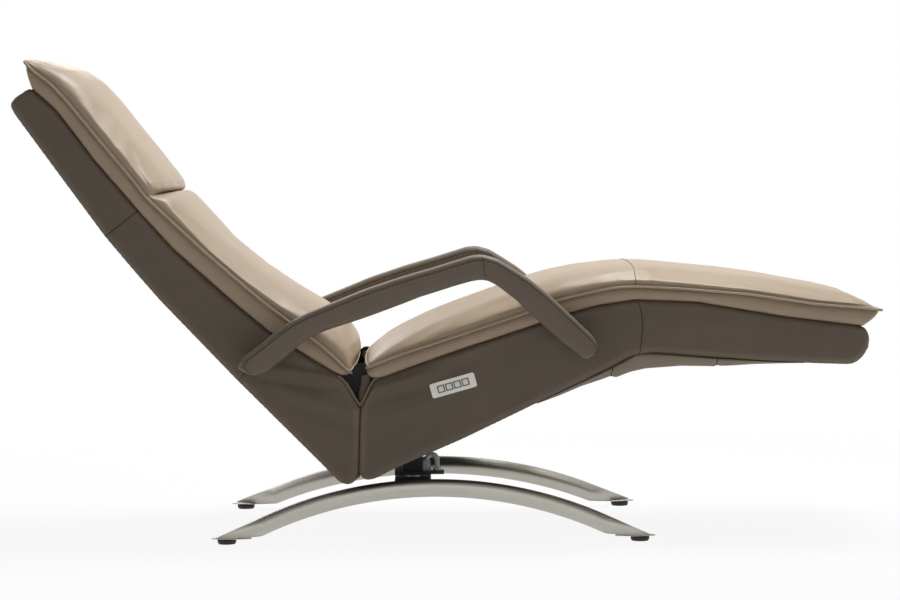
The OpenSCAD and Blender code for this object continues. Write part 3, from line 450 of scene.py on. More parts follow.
def between(pivot, way, reach):
    """The stretch on each side of a hinge, seen from the side, that a skin spans from one body to the next."""
    step = np.array(way) / norm(way) * reach
    start, end = pivot - step, pivot + step
    return (start[0], 0, start[1]), (end[0], 0, end[1])


# The stretch on each side of a hinge that a skin spans from one body to the next
AT_KNEE = ("seat", "legrest", *between(KNEE_PIVOT, (1, 0), 0.075))
AT_NECK = ("back", "headrest", *between(HEAD_PIVOT, HEAD_PIVOT - BACK_PIVOT, 0.045))
AT_KNEE_FOLD = ("seat", "legrest", *between(KNEE_PIVOT, (1, 0), 0.115))

# ---- Outlines seen from the side
BACK_REAR = [
    [-0.1075, 0.148], [-0.1085, 0.136], [-0.1175, 0.1245], [-0.127, 0.128], [-0.153, 0.179],
    [-0.246, 0.358], [-0.334, 0.535], [-0.362, 0.597], [-0.395, 0.673]]
HEAD_REAR = [[-0.3955, 0.674], [-0.449, 0.815], [-0.4955, 0.938]]
HEAD_END = [[-0.4955, 0.938], [-0.5015, 0.956], [-0.502, 0.968], [-0.4975, 0.9765], [-0.4785, 1]]
BACK_FRONT = [
    [-0.1045, 0.3], [-0.124, 0.362], [-0.152, 0.394], [-0.179, 0.426], [-0.207, 0.46], [-0.253, 0.534],
    [-0.318, 0.646], [-0.3575, 0.73]]
HEAD_FRONT = [[-0.3575, 0.731], [-0.405, 0.836], [-0.449, 0.949], [-0.4785, 1]]
SEAT_TOP = [
    [-0.1035, 0.3], [-0.088, 0.358], [-0.079, 0.359], [-0.054, 0.377], [0.005, 0.416], [0.102, 0.476],
    [0.139, 0.499], [0.17, 0.515], [0.2135, 0.527]]
LEG_TOP = [[0.2135, 0.527], [0.283, 0.521], [0.382, 0.488], [0.478, 0.4645]]
LEG_END = [[0.478, 0.4645], [0.4835, 0.443], [0.4825, 0.417], [0.4725, 0.391], [0.463, 0.3815]]
SEAT_BOTTOM = [
    [-0.1065, 0.149], [-0.1, 0.134], [-0.087, 0.1385], [-0.066, 0.16], [-0.04, 0.181], [-0.013, 0.203],
    [0.013, 0.224], [0.082, 0.286], [0.1255, 0.3265], [0.158, 0.355], [0.185, 0.379], [0.208, 0.4035]]
LEG_BOTTOM = [[0.2335, 0.411], [0.3, 0.4], [0.35, 0.393], [0.42, 0.3845], [0.463, 0.3815]]
KNEE_UNDER = [
    [0.158, 0.355], [0.185, 0.379], [0.217, 0.412], [0.238, 0.411], [0.3, 0.4], [0.35, 0.393],
    [0.42, 0.3845], [0.44, 0.383]]
SLING_LINE = [
    [0.1, 0.2985], [0.1256, 0.3167], [0.1506, 0.337], [0.178, 0.3545], [0.1845, 0.3595], [0.1911, 0.3565],
    [0.208, 0.3685], [0.2255, 0.3755], [0.2654, 0.3805], [0.298, 0.3795], [0.304, 0.3785], [0.308, 0.382],
    [0.3125, 0.3795], [0.35, 0.3825], [0.41, 0.3835]]


# ---- Padded side panels of the hull
PANEL_COLUMNS, PANEL_ROWS = 250, 36
DOME, SEAM_R = 0.0022, 0.0009


def rounded_outline(lines, step=0.0015, reach=0.006):
    """Four lines that close a loop, with their corners rounded together."""
    parts = [spread_out(line, max(8, int(walked(line)[-1] / step)))[:-1] for line in lines]
    loop, cuts = np.vstack(parts), np.cumsum([0] + [len(p) for p in parts])
    width = int(reach / step)
    for _ in range(3):
        loop = np.mean([np.roll(loop, k, 0) for k in range(-width, width + 1)], axis=0)
    loop = np.vstack([loop, loop[:1]])
    return [loop[a:b + 1] for a, b in zip(cuts[:-1], cuts[1:])]


def nearness(points, line):
    """The distance from each point to the nearest point of a line."""
    return np.array([np.min(norm(line - p, axis=1)) for p in points])


def rolled(distance, radius):
    """How far a face drops near its edge, a quarter round of the given radius."""
    near = np.clip(radius - distance, 0, radius)
    return radius - np.sqrt(radius ** 2 - near ** 2)


def fold_line(x, z, start, end, width, rise):
    """A soft fold from start to end that fades at both."""
    run = end - start
    share = ((x - start[0]) * run[0] + (z - start[1]) * run[1]) / (run @ run)
    off = ((x - start[0]) * run[1] - (z - start[1]) * run[0]) / math.sqrt(run @ run)
    faded = np.clip(np.sin(np.pi * np.clip((share + 0.15) / 1.3, 0, 1)), 0, 1)
    return rise * np.exp(-(off / width) ** 2) * faded


def panel(name, lines, side, word, folds, seams, joint, nodes):
    """One padded side panel: a domed face with rolled edges, creases, and sewn seams."""
    top, end, bottom, start = rounded_outline(lines)
    columns, rows = paced(PANEL_COLUMNS + 1, 1, 0), paced(PANEL_ROWS + 1, 0, 1)
    upper, lower = spread_out(top, at=columns), spread_out(bottom[::-1], at=columns)
    left, right = spread_out(start[::-1], at=rows), spread_out(end, at=rows)
    s, t = rows[None, :, None], columns[:, None, None]
    corners = ((1 - t) * (1 - s) * upper[0] + t * (1 - s) * upper[-1]
               + (1 - t) * s * lower[0] + t * s * lower[-1])
    face = (1 - s) * upper[:, None] + s * lower[:, None] + (1 - t) * left[None] + t * right[None] - corners
    flat = face.reshape(-1, 2)
    rim = np.vstack([top, end, bottom])[::2]
    from_rim, from_seam = nearness(flat, rim), nearness(flat, start[::2])
    inside = np.minimum(from_rim, from_seam)
    depth = SIDE_OUT - DOME - np.maximum(rolled(from_rim, 0.012), rolled(from_seam, 0.005))
    depth += DOME * (1 - np.exp(-inside / 0.03))
    x, z = flat[:, 0], flat[:, 1]
    crease = np.array([0.0007 * ripple(a, side, b, 14) + 0.0012 * ripple(a, 3 * side, b, 6) for a, b in flat])
    for fold in folds:
        crease += 1.5 * fold_line(x, z, np.array(fold[0]), np.array(fold[1]), *fold[2:])
    for seam in seams:
        crease -= 0.0013 * np.exp(-(nearness(flat, spread_out(outline(seam), 60)) / 0.0035) ** 2)
    depth += np.clip(inside / 0.012, 0, 1) * crease
    bm, edge_highlight = bmesh.new(), []
    for v, column, row in grid_places(bm, PANEL_COLUMNS, PANEL_ROWS):
        k = column * len(rows) + row
        v.co = (flat[k, 0], side * depth[k], flat[k, 1])
        # Painted highlight along the rolled edges, strongest about 6 mm in from the rim
        edge_highlight.append(exp(-((inside[k] - 0.006) / 0.006) ** 2))
    wall = bmesh.ops.extrude_edge_only(bm, edges=[e for e in bm.edges if e.is_boundary])
    for v in wall["geom"]:
        if isinstance(v, bmesh.types.BMVert):
            v.co.y = side * (SIDE_IN - 0.0002)
            edge_highlight.append(0)
    bmesh.ops.holes_fill(bm, edges=bm.edges, sides=0)
    belongs(keep("%s_%s" % (name, word), bm, HULL, edge_highlight), joint=joint,
            nodes=[n + "_" + word for n in nodes])
    for number, seam in enumerate(seams):
        path = spread_out(outline(seam), at=np.linspace(0.03, 0.97, 60))
        dips = np.array([[depth[np.argmin(norm(flat - p, axis=1))]] for p in path])
        points = [(p[0], side * (d[0] - 0.0001), p[1]) for p, d in zip(path, relaxed(dips, 6))]
        belongs(corded("%s_seam_%s_%d" % (name, word, number + 1), points, SEAM_R, HULL_SEAM),
                joint=joint)


# Folds of the leather: start, end, width and rise
BACK_FOLDS = [
    ((-0.36, 0.315), (-0.205, 0.292), 0.008, -0.0040), ((-0.34, 0.335), (-0.195, 0.310), 0.007, 0.0036),
    ((-0.30, 0.262), (-0.185, 0.222), 0.011, -0.0030), ((-0.31, 0.285), (-0.19, 0.252), 0.009, 0.0032),
    ((-0.46, 0.40), (-0.33, 0.33), 0.014, 0.0016), ((-0.50, 0.55), (-0.42, 0.45), 0.02, 0.0012)]
SEAT_FOLDS = [
    ((-0.160, 0.288), (-0.02, 0.330), 0.007, 0.0038), ((-0.155, 0.268), (-0.03, 0.300), 0.008, -0.0034),
    ((-0.14, 0.235), (-0.02, 0.268), 0.010, 0.0026), ((-0.03, 0.340), (0.10, 0.390), 0.008, 0.0028),
    ((-0.02, 0.318), (0.06, 0.350), 0.008, -0.0020), ((0.15, 0.37), (0.27, 0.415), 0.010, 0.0018),
    ((0.40, 0.42), (0.62, 0.40), 0.016, 0.0012), ((0.05, 0.25), (0.20, 0.325), 0.014, -0.0014)]
NECK_SEAM = [[-0.3565, 0.7305], [-0.3955, 0.6735]]
BACK_SEAM = [[-0.2035, 0.4545], [-0.2242, 0.4022], [-0.2455, 0.3525]]
KNEE_SEAM = [[0.2153, 0.525], [0.22, 0.503], [0.2215, 0.47], [0.2195, 0.43], [0.2175, 0.4005]]
SEAT_EDGES = [outline(line) for line in (SEAT_TOP + LEG_TOP[1:], LEG_END, LEG_BOTTOM[::-1] + SEAT_BOTTOM[::-1],
                                         [SEAT_BOTTOM[0], SEAT_TOP[0]])]
BACK_EDGES = [outline(line) for line in (BACK_FRONT + HEAD_FRONT[1:], HEAD_END[::-1],
                                         HEAD_REAR[::-1] + BACK_REAR[::-1][1:], [BACK_REAR[0], BACK_FRONT[0]])]
for side, word in SIDES:
    panel("seat_and_leg_side", SEAT_EDGES, side, word, SEAT_FOLDS, [KNEE_SEAM], AT_KNEE, ["seat_side", "leg_side"])
    panel("back_and_head_side", BACK_EDGES, side, word, BACK_FOLDS, [NECK_SEAM, BACK_SEAM], AT_NECK,
          ["back_side", "head_side"])


# ---- Rear and foot skins, between the side panels
def cover(name, path, inward, joint, body, nodes):
    """A leather skin across the body, its side edges rolled in, crowned but where it passes just over the base."""
    half, thick, crown = SKIN_HALF, 0.007, 0.003
    runs = np.gradient(path, axis=0)
    runs /= norm(runs, axis=1)[:, None]
    inner = np.stack([-runs[:, 1], runs[:, 0]], 1) * inward
    places = half * np.sin(np.linspace(-np.pi / 2, np.pi / 2, 61))
    rings = []
    for (x, z), way in zip(path, inner):
        ring, soft = [], min(1, max(0, (z - 0.14) / 0.12))
        for y in places:
            lift = soft * (crown * (1 - (y / half) ** 2) + 0.0008 * ripple(x, y, z, 6))
            lift -= float(rolled(half - abs(y), 0.005))
            ring.append((x - way[0] * lift, y, z - way[1] * lift))
        for y in places[::-6]:
            ring.append((x + way[0] * thick, y, z + way[1] * thick))
        rings.append(ring)
    belongs(swept(name, rings, HULL), body=body, joint=joint, nodes=nodes)


rear_path = relaxed(spread_out(outline([[-0.4755, 0.9985]] + HEAD_END[::-1][1:] + HEAD_REAR[::-1][1:]
                                       + BACK_REAR[::-1][1:-1]), 200), 3)
cover("rear_skin", rear_path, 1, AT_NECK, None, ["back_rear_cover", "head_rear_cover"])
foot_path = relaxed(spread_out(outline([[0.4755, 0.465]] + LEG_END[1:]
                                       + [[0.43, 0.3855], [0.405, 0.3915], [0.38, 0.4]]), 120), 3)
cover("foot_skin", foot_path, -1, None, "legrest", ["leg_under_cover"])


def belly_cloth():
    """The black cloth that closes the seat from below, with the hole for the tilt head."""
    path = relaxed(spread_out(outline(SEAT_BOTTOM), 151), 2)
    hole, hole_half, half = np.array([-0.076, -0.014]) * BODY_L, 0.062, SKIN_HALF
    bm = bmesh.new()
    for v, k, row in grid_places(bm, 150, 60):
        y = half * (row / 30 - 1)
        v.co = (path[k, 0], y, path[k, 1] + 0.003 + 0.0012 * ripple(path[k, 0], y, 0, 12) * (1 - abs(y) / half))
    middles = [(f, f.calc_center_median()) for f in bm.faces]
    cut = [f for f, m in middles if hole[0] < m.x < hole[1] and abs(m.y) < hole_half]
    bmesh.ops.delete(bm, geom=cut, context="FACES")
    bmesh.ops.recalc_face_normals(bm, faces=bm.faces)
    bmesh.ops.solidify(bm, geom=bm.faces[:], thickness=0.0012)
    belongs(keep("belly_cloth", bm, CLOTH), body="seat", nodes=["seat_belly_cover"])


belly_cloth()


# ---- Soft sling under the knee, hanging between the panels
def knee_sling():
    """A closed skin over rings across the body: the sagging face, its turned-up sides, and the roof in the hull."""
    half, tuck, flush = SIDE_IN - 0.0015, 0.010, 0.2625
    low = spread_out(relaxed(spread_out(outline(SLING_LINE), 500), 5), 150)
    shell = outline(SEAT_BOTTOM[-6:-3] + KNEE_UNDER)
    roofs = np.interp(low[:, 0], shell[:, 0], shell[:, 1]) + tuck
    rings = []
    for (x, z), roof in zip(low, roofs):
        ring = []
        edge = roof - tuck - 0.0015
        show = max(0.0, edge - z)
        wide = half + (flush - half) * min(1, show / 0.012)
        for a in np.linspace(-np.pi / 2, np.pi / 2, 41):
            y = wide * sin(a)
            sag = 0.003 * cos(a) ** 2 - min(0.6 * show, float(rolled(wide - abs(y), 0.009)))
            ring.append((x, y, min(roof - 0.002, z - sag + 0.0010 * ripple(x, y, z, 9) * cos(a))))
        side = [(wide + 0.0012 * ripple(x, 2, 0, 30), z + 0.75 * show), (wide - 0.001, z + 0.92 * show),
                (half, max(edge, z + 0.001)), (half, roof - 0.001)]
        ring += [(x, y, high) for y, high in side]
        ring += [(x, y, max(z + 0.002, roof - 0.009 * (1 - (y / half) ** 6)))
                 for y in np.linspace(0.98, -0.98, 13) * half]
        ring += [(x, -y, high) for y, high in side[::-1]]
        rings.append(ring)
    # The sling takes the leather painted lighter for the light from the floor
    belongs(swept("knee_sling", rings, SLING_FLOOR_LIT), joint=AT_KNEE_FOLD,
            nodes=["under_knee_cover"])
    for number, (across, under, over) in enumerate(((0.1853, 0.3605, 0.3775), (0.3065, 0.3825, 0.3975))):
        for side, word in SIDES:
            path = [(across * BODY_L + 0.003 * t, side * (flush + 0.0002 - 0.004 * (1 - t) ** 3),
                     (under + (over - under) * t) * BODY_H) for t in np.linspace(0, 1, 12)]
            belongs(corded("sling_seam_%d_%s" % (number + 1, word), path, SEAM_R, HULL_SEAM),
                    joint=AT_KNEE_FOLD)


knee_sling()


# ---- The notch between back and seat: cloth gusset, rolled rims and the inner flap
SEAM_FOOT = outline([-0.107, 0.152])
SEAM_HEAD = outline([-0.104, 0.3])
AT_SEAM = ("back", "seat", *between((SEAM_FOOT + SEAM_HEAD) / 2,
                                    (SEAM_HEAD[1] - SEAM_FOOT[1], SEAM_FOOT[0] - SEAM_HEAD[0]), 0.0015))


def gusset():
    """Pleated skin in the seam between back and seat: down one side, across below, and up the other."""
    low, top, reach, columns = SEAM_FOOT[1], SEAM_HEAD[1] + 0.002, 0.2610, 13
    half = [(reach, z) for z in np.linspace(top, low, 24)]
    half += [(reach - 0.012 + 0.012 * cos(a), low - 0.010 * sin(a))
             for a in np.linspace(0.2, np.pi / 2, 6)]
    half += [(y, low - 0.010) for y in np.linspace(reach - 0.02, 0, 10)]
    path = half + [(-y, z) for y, z in half[::-1][1:]]
    bm = bmesh.new()
    for v, k, column in grid_places(bm, len(path) - 1, columns - 1):
        y, z = path[k]
        seam_x = np.interp(z, [low, top], [SEAM_FOOT[0], SEAM_HEAD[0]])
        pleat = 0.0012 * (-1) ** column
        inward = 1 - (0.001 + pleat) / reach if abs(y) > reach - 0.02 else 1
        v.co = (seam_x + 0.0034 * (column / (columns - 1) - 0.5), y * inward, z + pleat * (z < low - 0.009))
    bmesh.ops.solidify(bm, geom=bm.faces[:], thickness=0.0005)
    belongs(keep("seam_gusset", bm, HULL), joint=AT_SEAM, nodes=["back_gusset"])


def notch(side, word):
    """Black cloth that hides the hinge, a rolled rim on each hull, and a folded tongue on the seat's side."""
    bm = bmesh.new()
    for v, column, row in grid_places(bm, 24, 24):
        x = -0.226 + 0.094 * column / 24
        lobe = BACK_PIVOT[1] + math.sqrt(max(0, 0.0170 ** 2 - (x - BACK_PIVOT[0]) ** 2))
        z = 0.256 + (max(0.3155, lobe) - 0.256) * row / 24
        v.co = (x, side * (SIDE_IN + 0.0035 + 0.0022 * ripple(x, side, z, 40)), z)
    bmesh.ops.solidify(bm, geom=bm.faces[:], thickness=0.0008)
    belongs(keep("notch_cloth_" + word, bm, CLOTH),
            joint=("back", "seat", (-0.186, 0, 0.3), (-0.158, 0, 0.3)))
    rims = {"back": [[-0.130, 0.3665], [-0.125, 0.360], [-0.1185, 0.346], [-0.1105, 0.3185], [-0.1042, 0.3005]],
            "seat": [[-0.1038, 0.3005], [-0.0995, 0.317], [-0.0935, 0.3395], [-0.0885, 0.3565], [-0.083, 0.3605]]}
    for body, shares in rims.items():
        line = eased(shares, np.linspace(0, 1, 40), 20)
        path = [(x, side * (0.2655 + 0.0015 * sin(np.pi * k / 39)), z) for k, (x, z) in enumerate(line)]
        belongs(corded("notch_rim_%s_%s" % (body, word), path, 0.0023, RIM), body=body)
    spine = eased([[-0.1025, 0.305], [-0.1005, 0.322], [-0.098, 0.339], [-0.0965, 0.353], [-0.097, 0.367]],
                  np.linspace(0, 1, 26), 12)
    rings = []
    for k, (x, z) in enumerate(spine):
        wide = 0.0105 * sin(np.pi * (0.06 + 0.031 * k)) ** 0.7
        thick = 0.0042 * (0.4 + 0.6 * sin(np.pi * k / 25))
        rings.append([(x - 0.002 + wide * cos(a),
                       side * (0.2565 + thick * sin(a) + 0.001 * ripple(x, z, a, 30)),
                       z + 0.25 * wide * cos(a)) for a in circle_angles(20)])
    belongs(swept("notch_flap_" + word, rings, FLAP), body="seat")


gusset()
for side, word in SIDES:
    notch(side, word)

# ---- Cushions: outlines of the welt and of the crown
BACK_WELT = [
    [-0.1135, 0.369], [-0.146, 0.429], [-0.184, 0.483], [-0.22, 0.537], [-0.274, 0.626], [-0.318, 0.705],
    [-0.3475, 0.758]]
BACK_CROWN = [
    [-0.112, 0.376], [-0.106, 0.409], [-0.1095, 0.436], [-0.121, 0.463], [-0.147, 0.507], [-0.18, 0.544],
    [-0.223, 0.597], [-0.264, 0.661], [-0.3, 0.737], [-0.311, 0.7615], [-0.3165, 0.7695],
    [-0.3225, 0.7715], [-0.329, 0.7695], [-0.3345, 0.7675]]
HEAD_WELT = [
    [-0.3475, 0.758], [-0.361, 0.793], [-0.405, 0.894], [-0.437, 0.97], [-0.455, 1.007], [-0.475, 1.035],
    [-0.486, 1.057]]
HEAD_CROWN = [
    [-0.3345, 0.7675], [-0.3275, 0.7715], [-0.3225, 0.775], [-0.3205, 0.781], [-0.3225, 0.793],
    [-0.34, 0.832], [-0.37, 0.907], [-0.4, 0.98], [-0.4175, 1.018], [-0.4375, 1.0455], [-0.462, 1.0635],
    [-0.48, 1.068], [-0.488, 1.065]]
SEAT_WELT = [
    [-0.0985, 0.3805], [-0.061, 0.409], [0.005, 0.449], [0.091, 0.502], [0.124, 0.527], [0.159, 0.543],
    [0.192, 0.555], [0.2137, 0.556]]
SEAT_CROWN = [
    [-0.101, 0.388], [-0.097, 0.405], [-0.074, 0.44], [-0.056, 0.457], [0.007, 0.505], [0.06, 0.541],
    [0.095, 0.565], [0.123, 0.58], [0.158, 0.592], [0.199, 0.599], [0.2137, 0.5995]]
LEG_WELT = [[0.2137, 0.556], [0.264, 0.551], [0.345, 0.537], [0.418, 0.515], [0.478, 0.5045], [0.499, 0.4995]]
LEG_CROWN = [
    [0.2137, 0.5995], [0.231, 0.599], [0.272, 0.591], [0.326, 0.581], [0.376, 0.567], [0.43, 0.549],
    [0.4654, 0.5385], [0.483, 0.523], [0.4925, 0.507], [0.4995, 0.503]]
# The side band: share of the way from the hull to the welt, and how far out it lies there
BAND = ((0.0, -0.0065), (0.12, -0.003), (0.3, 0.0002), (0.52, 0.0008), (0.74, -0.0008), (0.88, -0.0035),
        (0.97, -0.0052))
TOP_STEPS, HALF_RINGS = 72, 100


class Cushion:
    """A crowned cushion over two frame parts: a side band up to a welt, and one soft top from welt to welt."""

    def __init__(self, name, lows, welts, crowns, seed):
        self.name, self.seed = name, seed
        even = paced(HALF_RINGS, 0.45, 0.55)
        self.low, self.welt, self.crown = (
            np.vstack([eased(halves[0], even, passes), eased(halves[1], even, passes)[1:]])
            for halves, passes in ((lows, 8), (welts, 8), (crowns, 2)))
        self.low, self.welt = relaxed(self.low, 6), relaxed(self.welt, 6)
        self.reach = walked(self.welt)
        ends = rolled(self.reach, 0.018) + rolled(self.reach[-1] - self.reach, 0.012)
        self.half = relaxed((SIDE_OUT + 0.0015 - ends)[:, None], 2)[:, 0]

    def band(self, k, side, steps):
        """The side band of ring k, from the hull up to the welt."""
        low, welt, reach, last = self.low[k], self.welt[k], self.reach[k], self.reach[-1]
        run = self.welt[min(k + 1, len(self.welt) - 1)] - self.welt[max(k - 1, 0)]
        pull = run / norm(run) * (exp(-(last - reach) / 0.006) - exp(-reach / 0.006))
        return [(*(low + (welt - low) * share + pull * out * (share > 0)), side * (self.half[k] + out
                 + 0.0009 * ripple(reach, 0.1 * share, self.seed + side, 16))) for share, out in steps]

    def ring(self, k):
        """One closed ring of the cushion: band, top, band, and back under it."""
        low, welt, crown, half, reach = self.low[k], self.welt[k], self.crown[k], self.half[k], self.reach[k]
        tall = norm(crown - welt)
        way = (crown - welt) / max(tall, 1e-6)
        points = self.band(k, -1, BAND)
        for step in range(TOP_STEPS + 1):
            side = -1 if 2 * step < TOP_STEPS else 1
            near = min(step, TOP_STEPS - step) * 2 / TOP_STEPS
            angle = np.pi / 2 * near ** 2
            rise = sin(angle) ** 0.55
            lift, full = rise * tall, min(1, tall / 0.03)
            # A stitched channel and ridge just above the welt, then small gathers that fade upwards
            shift = (0.0004 * exp(-((lift - 0.0085) / 0.002) ** 2)
                     - 0.0019 * exp(-((lift - 0.0048) / 0.0016) ** 2))
            fade = 0.0009 * exp(-lift / 0.028) * min(1, near * 20)
            shift += fade * ripple(reach * 62 + lift * 40, self.seed, side)
            y = side * ((half - 0.002) * cos(angle) + full * shift)
            soft = min(1, tall / 0.04) * rise * (0.0026 * ripple(reach * 5.5, y * 4.5, self.seed)
                                                + 0.0009 * ripple(reach * 17, y * 11, self.seed + 4))
            points.append((*(welt + way * (lift + soft)), y))
        points += self.band(k, 1, BAND[::-1])
        points += [(*low, half * y) for y in np.linspace(0.85, -0.85, 8)]
        return [(x, y, z) for x, z, y in points]

    def make(self, joint, nodes):
        """Sews, swells and smooths the cushion."""
        self.joint = joint
        self.rings = [self.ring(k) for k in range(len(self.welt))]
        self.piece = swept(self.name, self.rings, TAN)
        self.swell()
        fine = self.piece.modifiers.new("fine", "SUBSURF")
        fine.levels = fine.render_levels = 1
        smooth = bpy.data.meshes.new_from_object(settled(self.piece))
        self.piece.modifiers.clear()
        self.piece.data = smooth
        smooth.shade_smooth()
        self.surface = BVHTree.FromPolygons([v.co for v in smooth.vertices],
                                            [p.vertices for p in smooth.polygons])
        belongs(self.piece, joint=joint, nodes=nodes)

    def swell(self, frames=16, limit=0.0045):
        """Blows up the top as cloth that is held along the welts, at both ends, at the crevice and below."""
        mesh, last = self.piece.data, len(self.rings) - 1
        rest = np.array([v.co for v in mesh.vertices])
        held = self.piece.vertex_groups.new(name="held")
        for v, ring, point in zip(mesh.vertices, mesh.attributes["ring"].data, mesh.attributes["point"].data):
            step = point.value - len(BAND)
            from_welt = min(step, TOP_STEPS - step)
            from_end = min(ring.value, last - ring.value)
            if "back" in self.name:
                from_end = min(from_end, abs(ring.value - (HALF_RINGS - 1)))
            grip = 1 - min(1, max(0, from_welt - 6) / 6) * min(1, max(0, from_end - 2) / 9)
            held.add([v.index], grip, "REPLACE")
        cloth = self.piece.modifiers.new("cloth", "CLOTH")
        feel = cloth.settings
        feel.quality, feel.mass, feel.air_damping = 5, 0.4, 2.0
        feel.tension_stiffness = feel.compression_stiffness = 25
        feel.shear_stiffness, feel.bending_stiffness = 12, 4.0
        feel.use_pressure, feel.uniform_pressure_force = True, 2.2
        feel.vertex_group_mass, feel.shrink_min = "held", -0.004
        feel.effector_weights.gravity = 0
        cloth.collision_settings.use_collision = False
        cloth.point_cache.frame_start, cloth.point_cache.frame_end = 1, frames
        for number in range(1, frames + 1):
            scene.frame_set(number)
        moved = np.array([v.co for v in settled(self.piece).data.vertices]) - rest
        self.piece.modifiers.remove(cloth)
        scene.frame_set(1)
        size = norm(moved, axis=1)[:, None]
        moved *= limit * np.tanh(size / limit) / np.maximum(size, 1e-9)
        # Hide this thick shows no sharp buckles, so they are eased along the cushion
        places = tuple(np.array([mark.value for mark in mesh.attributes[key].data])
                       for key in ("ring", "point"))
        field = np.zeros((last + 1, max(places[1]) + 1, 3))
        field[places] = moved
        moved = relaxed(field, 8)[places]
        mesh.vertices.foreach_set("co", (rest + moved).astype(np.float32).ravel())
        mesh.update()

    def welt_cord(self):
        """The piping: one cord round the whole cushion."""
        right, left = (np.stack([self.welt[:, 0], s * (self.half + 0.0004), self.welt[:, 1]], 1) for s in (-1, 1))
        over, back = ([(1 - t) * a + t * b for t in np.linspace(0.02, 0.98, 50)]
                      for a, b in ((right[-1], left[-1]), (left[0], right[0])))
        loop = np.vstack([right, over, left[::-1], back])
        for _ in range(4):
            loop = (np.roll(loop, 1, 0) + 2 * loop + np.roll(loop, -1, 0)) / 4
        belongs(corded(self.name + "_welt", loop, 0.0024, TAN_WELT, closed=True),
                joint=self.joint)

    def laid(self, name, points, radius, material, lift=0.0002):
        """A cord laid on the cushion's surface."""
        path = []
        for point in points:
            spot, normal, _, _ = self.surface.find_nearest(Vector(point))
            path.append(tuple(spot + normal * lift))
        belongs(corded(name, relaxed(path, 3), radius, material), joint=self.joint)

    def across(self, k, skip=2):
        """The points of ring k over the top."""
        return self.rings[k][len(BAND) + skip:len(BAND) + TOP_STEPS + 1 - skip]


seat_and_leg = Cushion("seat_and_leg_cushion", ([[-0.096, 0.362], [-0.087, 0.3575]] + SEAT_TOP[2:], LEG_TOP),
                       (SEAT_WELT, LEG_WELT), (SEAT_CROWN, LEG_CROWN), 1.7)
seat_and_leg.make(AT_KNEE, ["seat_cushion", "leg_cushion"])
back_and_head = Cushion("back_and_head_cushion", (BACK_FRONT[1:], HEAD_FRONT), (BACK_WELT, HEAD_WELT),
                        (BACK_CROWN, HEAD_CROWN), 6.1)
back_and_head.make(AT_NECK, ["back_cushion", "head_pillow"])
for cushion in (seat_and_leg, back_and_head):
    cushion.welt_cord()
    cushion.laid(cushion.name + "_end_welt", cushion.across(3, 1), 0.0017, TAN_WELT, 0.0008)
seat_and_leg.laid("knee_seam", seat_and_leg.across(HALF_RINGS - 1), SEAM_R, TAN_SEAM)

# ---- Arms
ARM_TOP = [
    [-0.243, 0.39], [-0.237, 0.41], [-0.216, 0.44], [-0.202, 0.462], [-0.182, 0.489], [-0.163, 0.507],
    [-0.138, 0.526], [-0.099, 0.556], [-0.056, 0.583], [-0.017, 0.604], [0.007, 0.618], [0.024, 0.628],
    [0.037, 0.63], [0.053, 0.622], [0.067, 0.606], [0.089, 0.579], [0.111, 0.545], [0.139, 0.495],
    [0.161, 0.454], [0.1655, 0.443], [0.1678, 0.4315]]
ARM_UNDER = [
    [-0.229, 0.375], [-0.22, 0.373], [-0.208, 0.382], [-0.195, 0.4], [-0.175, 0.432], [-0.163, 0.451],
    [-0.14, 0.47], [-0.1, 0.494], [-0.056, 0.524], [-0.034, 0.54], [0.005, 0.563], [0.024, 0.573],
    [0.035, 0.576], [0.043, 0.574], [0.053, 0.564], [0.074, 0.533], [0.088, 0.507], [0.124, 0.444],
    [0.1455, 0.4125], [0.1505, 0.405], [0.1555, 0.4035], [0.161, 0.4085], [0.1655, 0.419]]


def superround(value, power):
    return math.copysign(abs(value) ** power, value)


def stitching(name, line, y, body):
    """A row of thread stitches, each a slim faceted bead."""
    pitch, size = 0.0066, (0.0022, 0.0007, 0.0007, 1)
    run, bm = walked(line), bmesh.new()
    for at in np.arange(0.004, run[-1] - 0.004, pitch):
        a, b = (np.array([np.interp(at + d, run, line[:, k]) for k in (0, 1)]) for d in (-0.001, 0.001))
        turn = Matrix.Rotation(-math.atan2(b[1] - a[1], b[0] - a[0]), 4, "Y")
        place = Matrix.Translation(((a + b)[0] / 2, y, (a + b)[1] / 2)) @ turn @ Matrix.Diagonal(size)
        bmesh.ops.create_icosphere(bm, subdivisions=1, radius=1, matrix=place)
    belongs(keep(name, bm, THREAD), body=body)


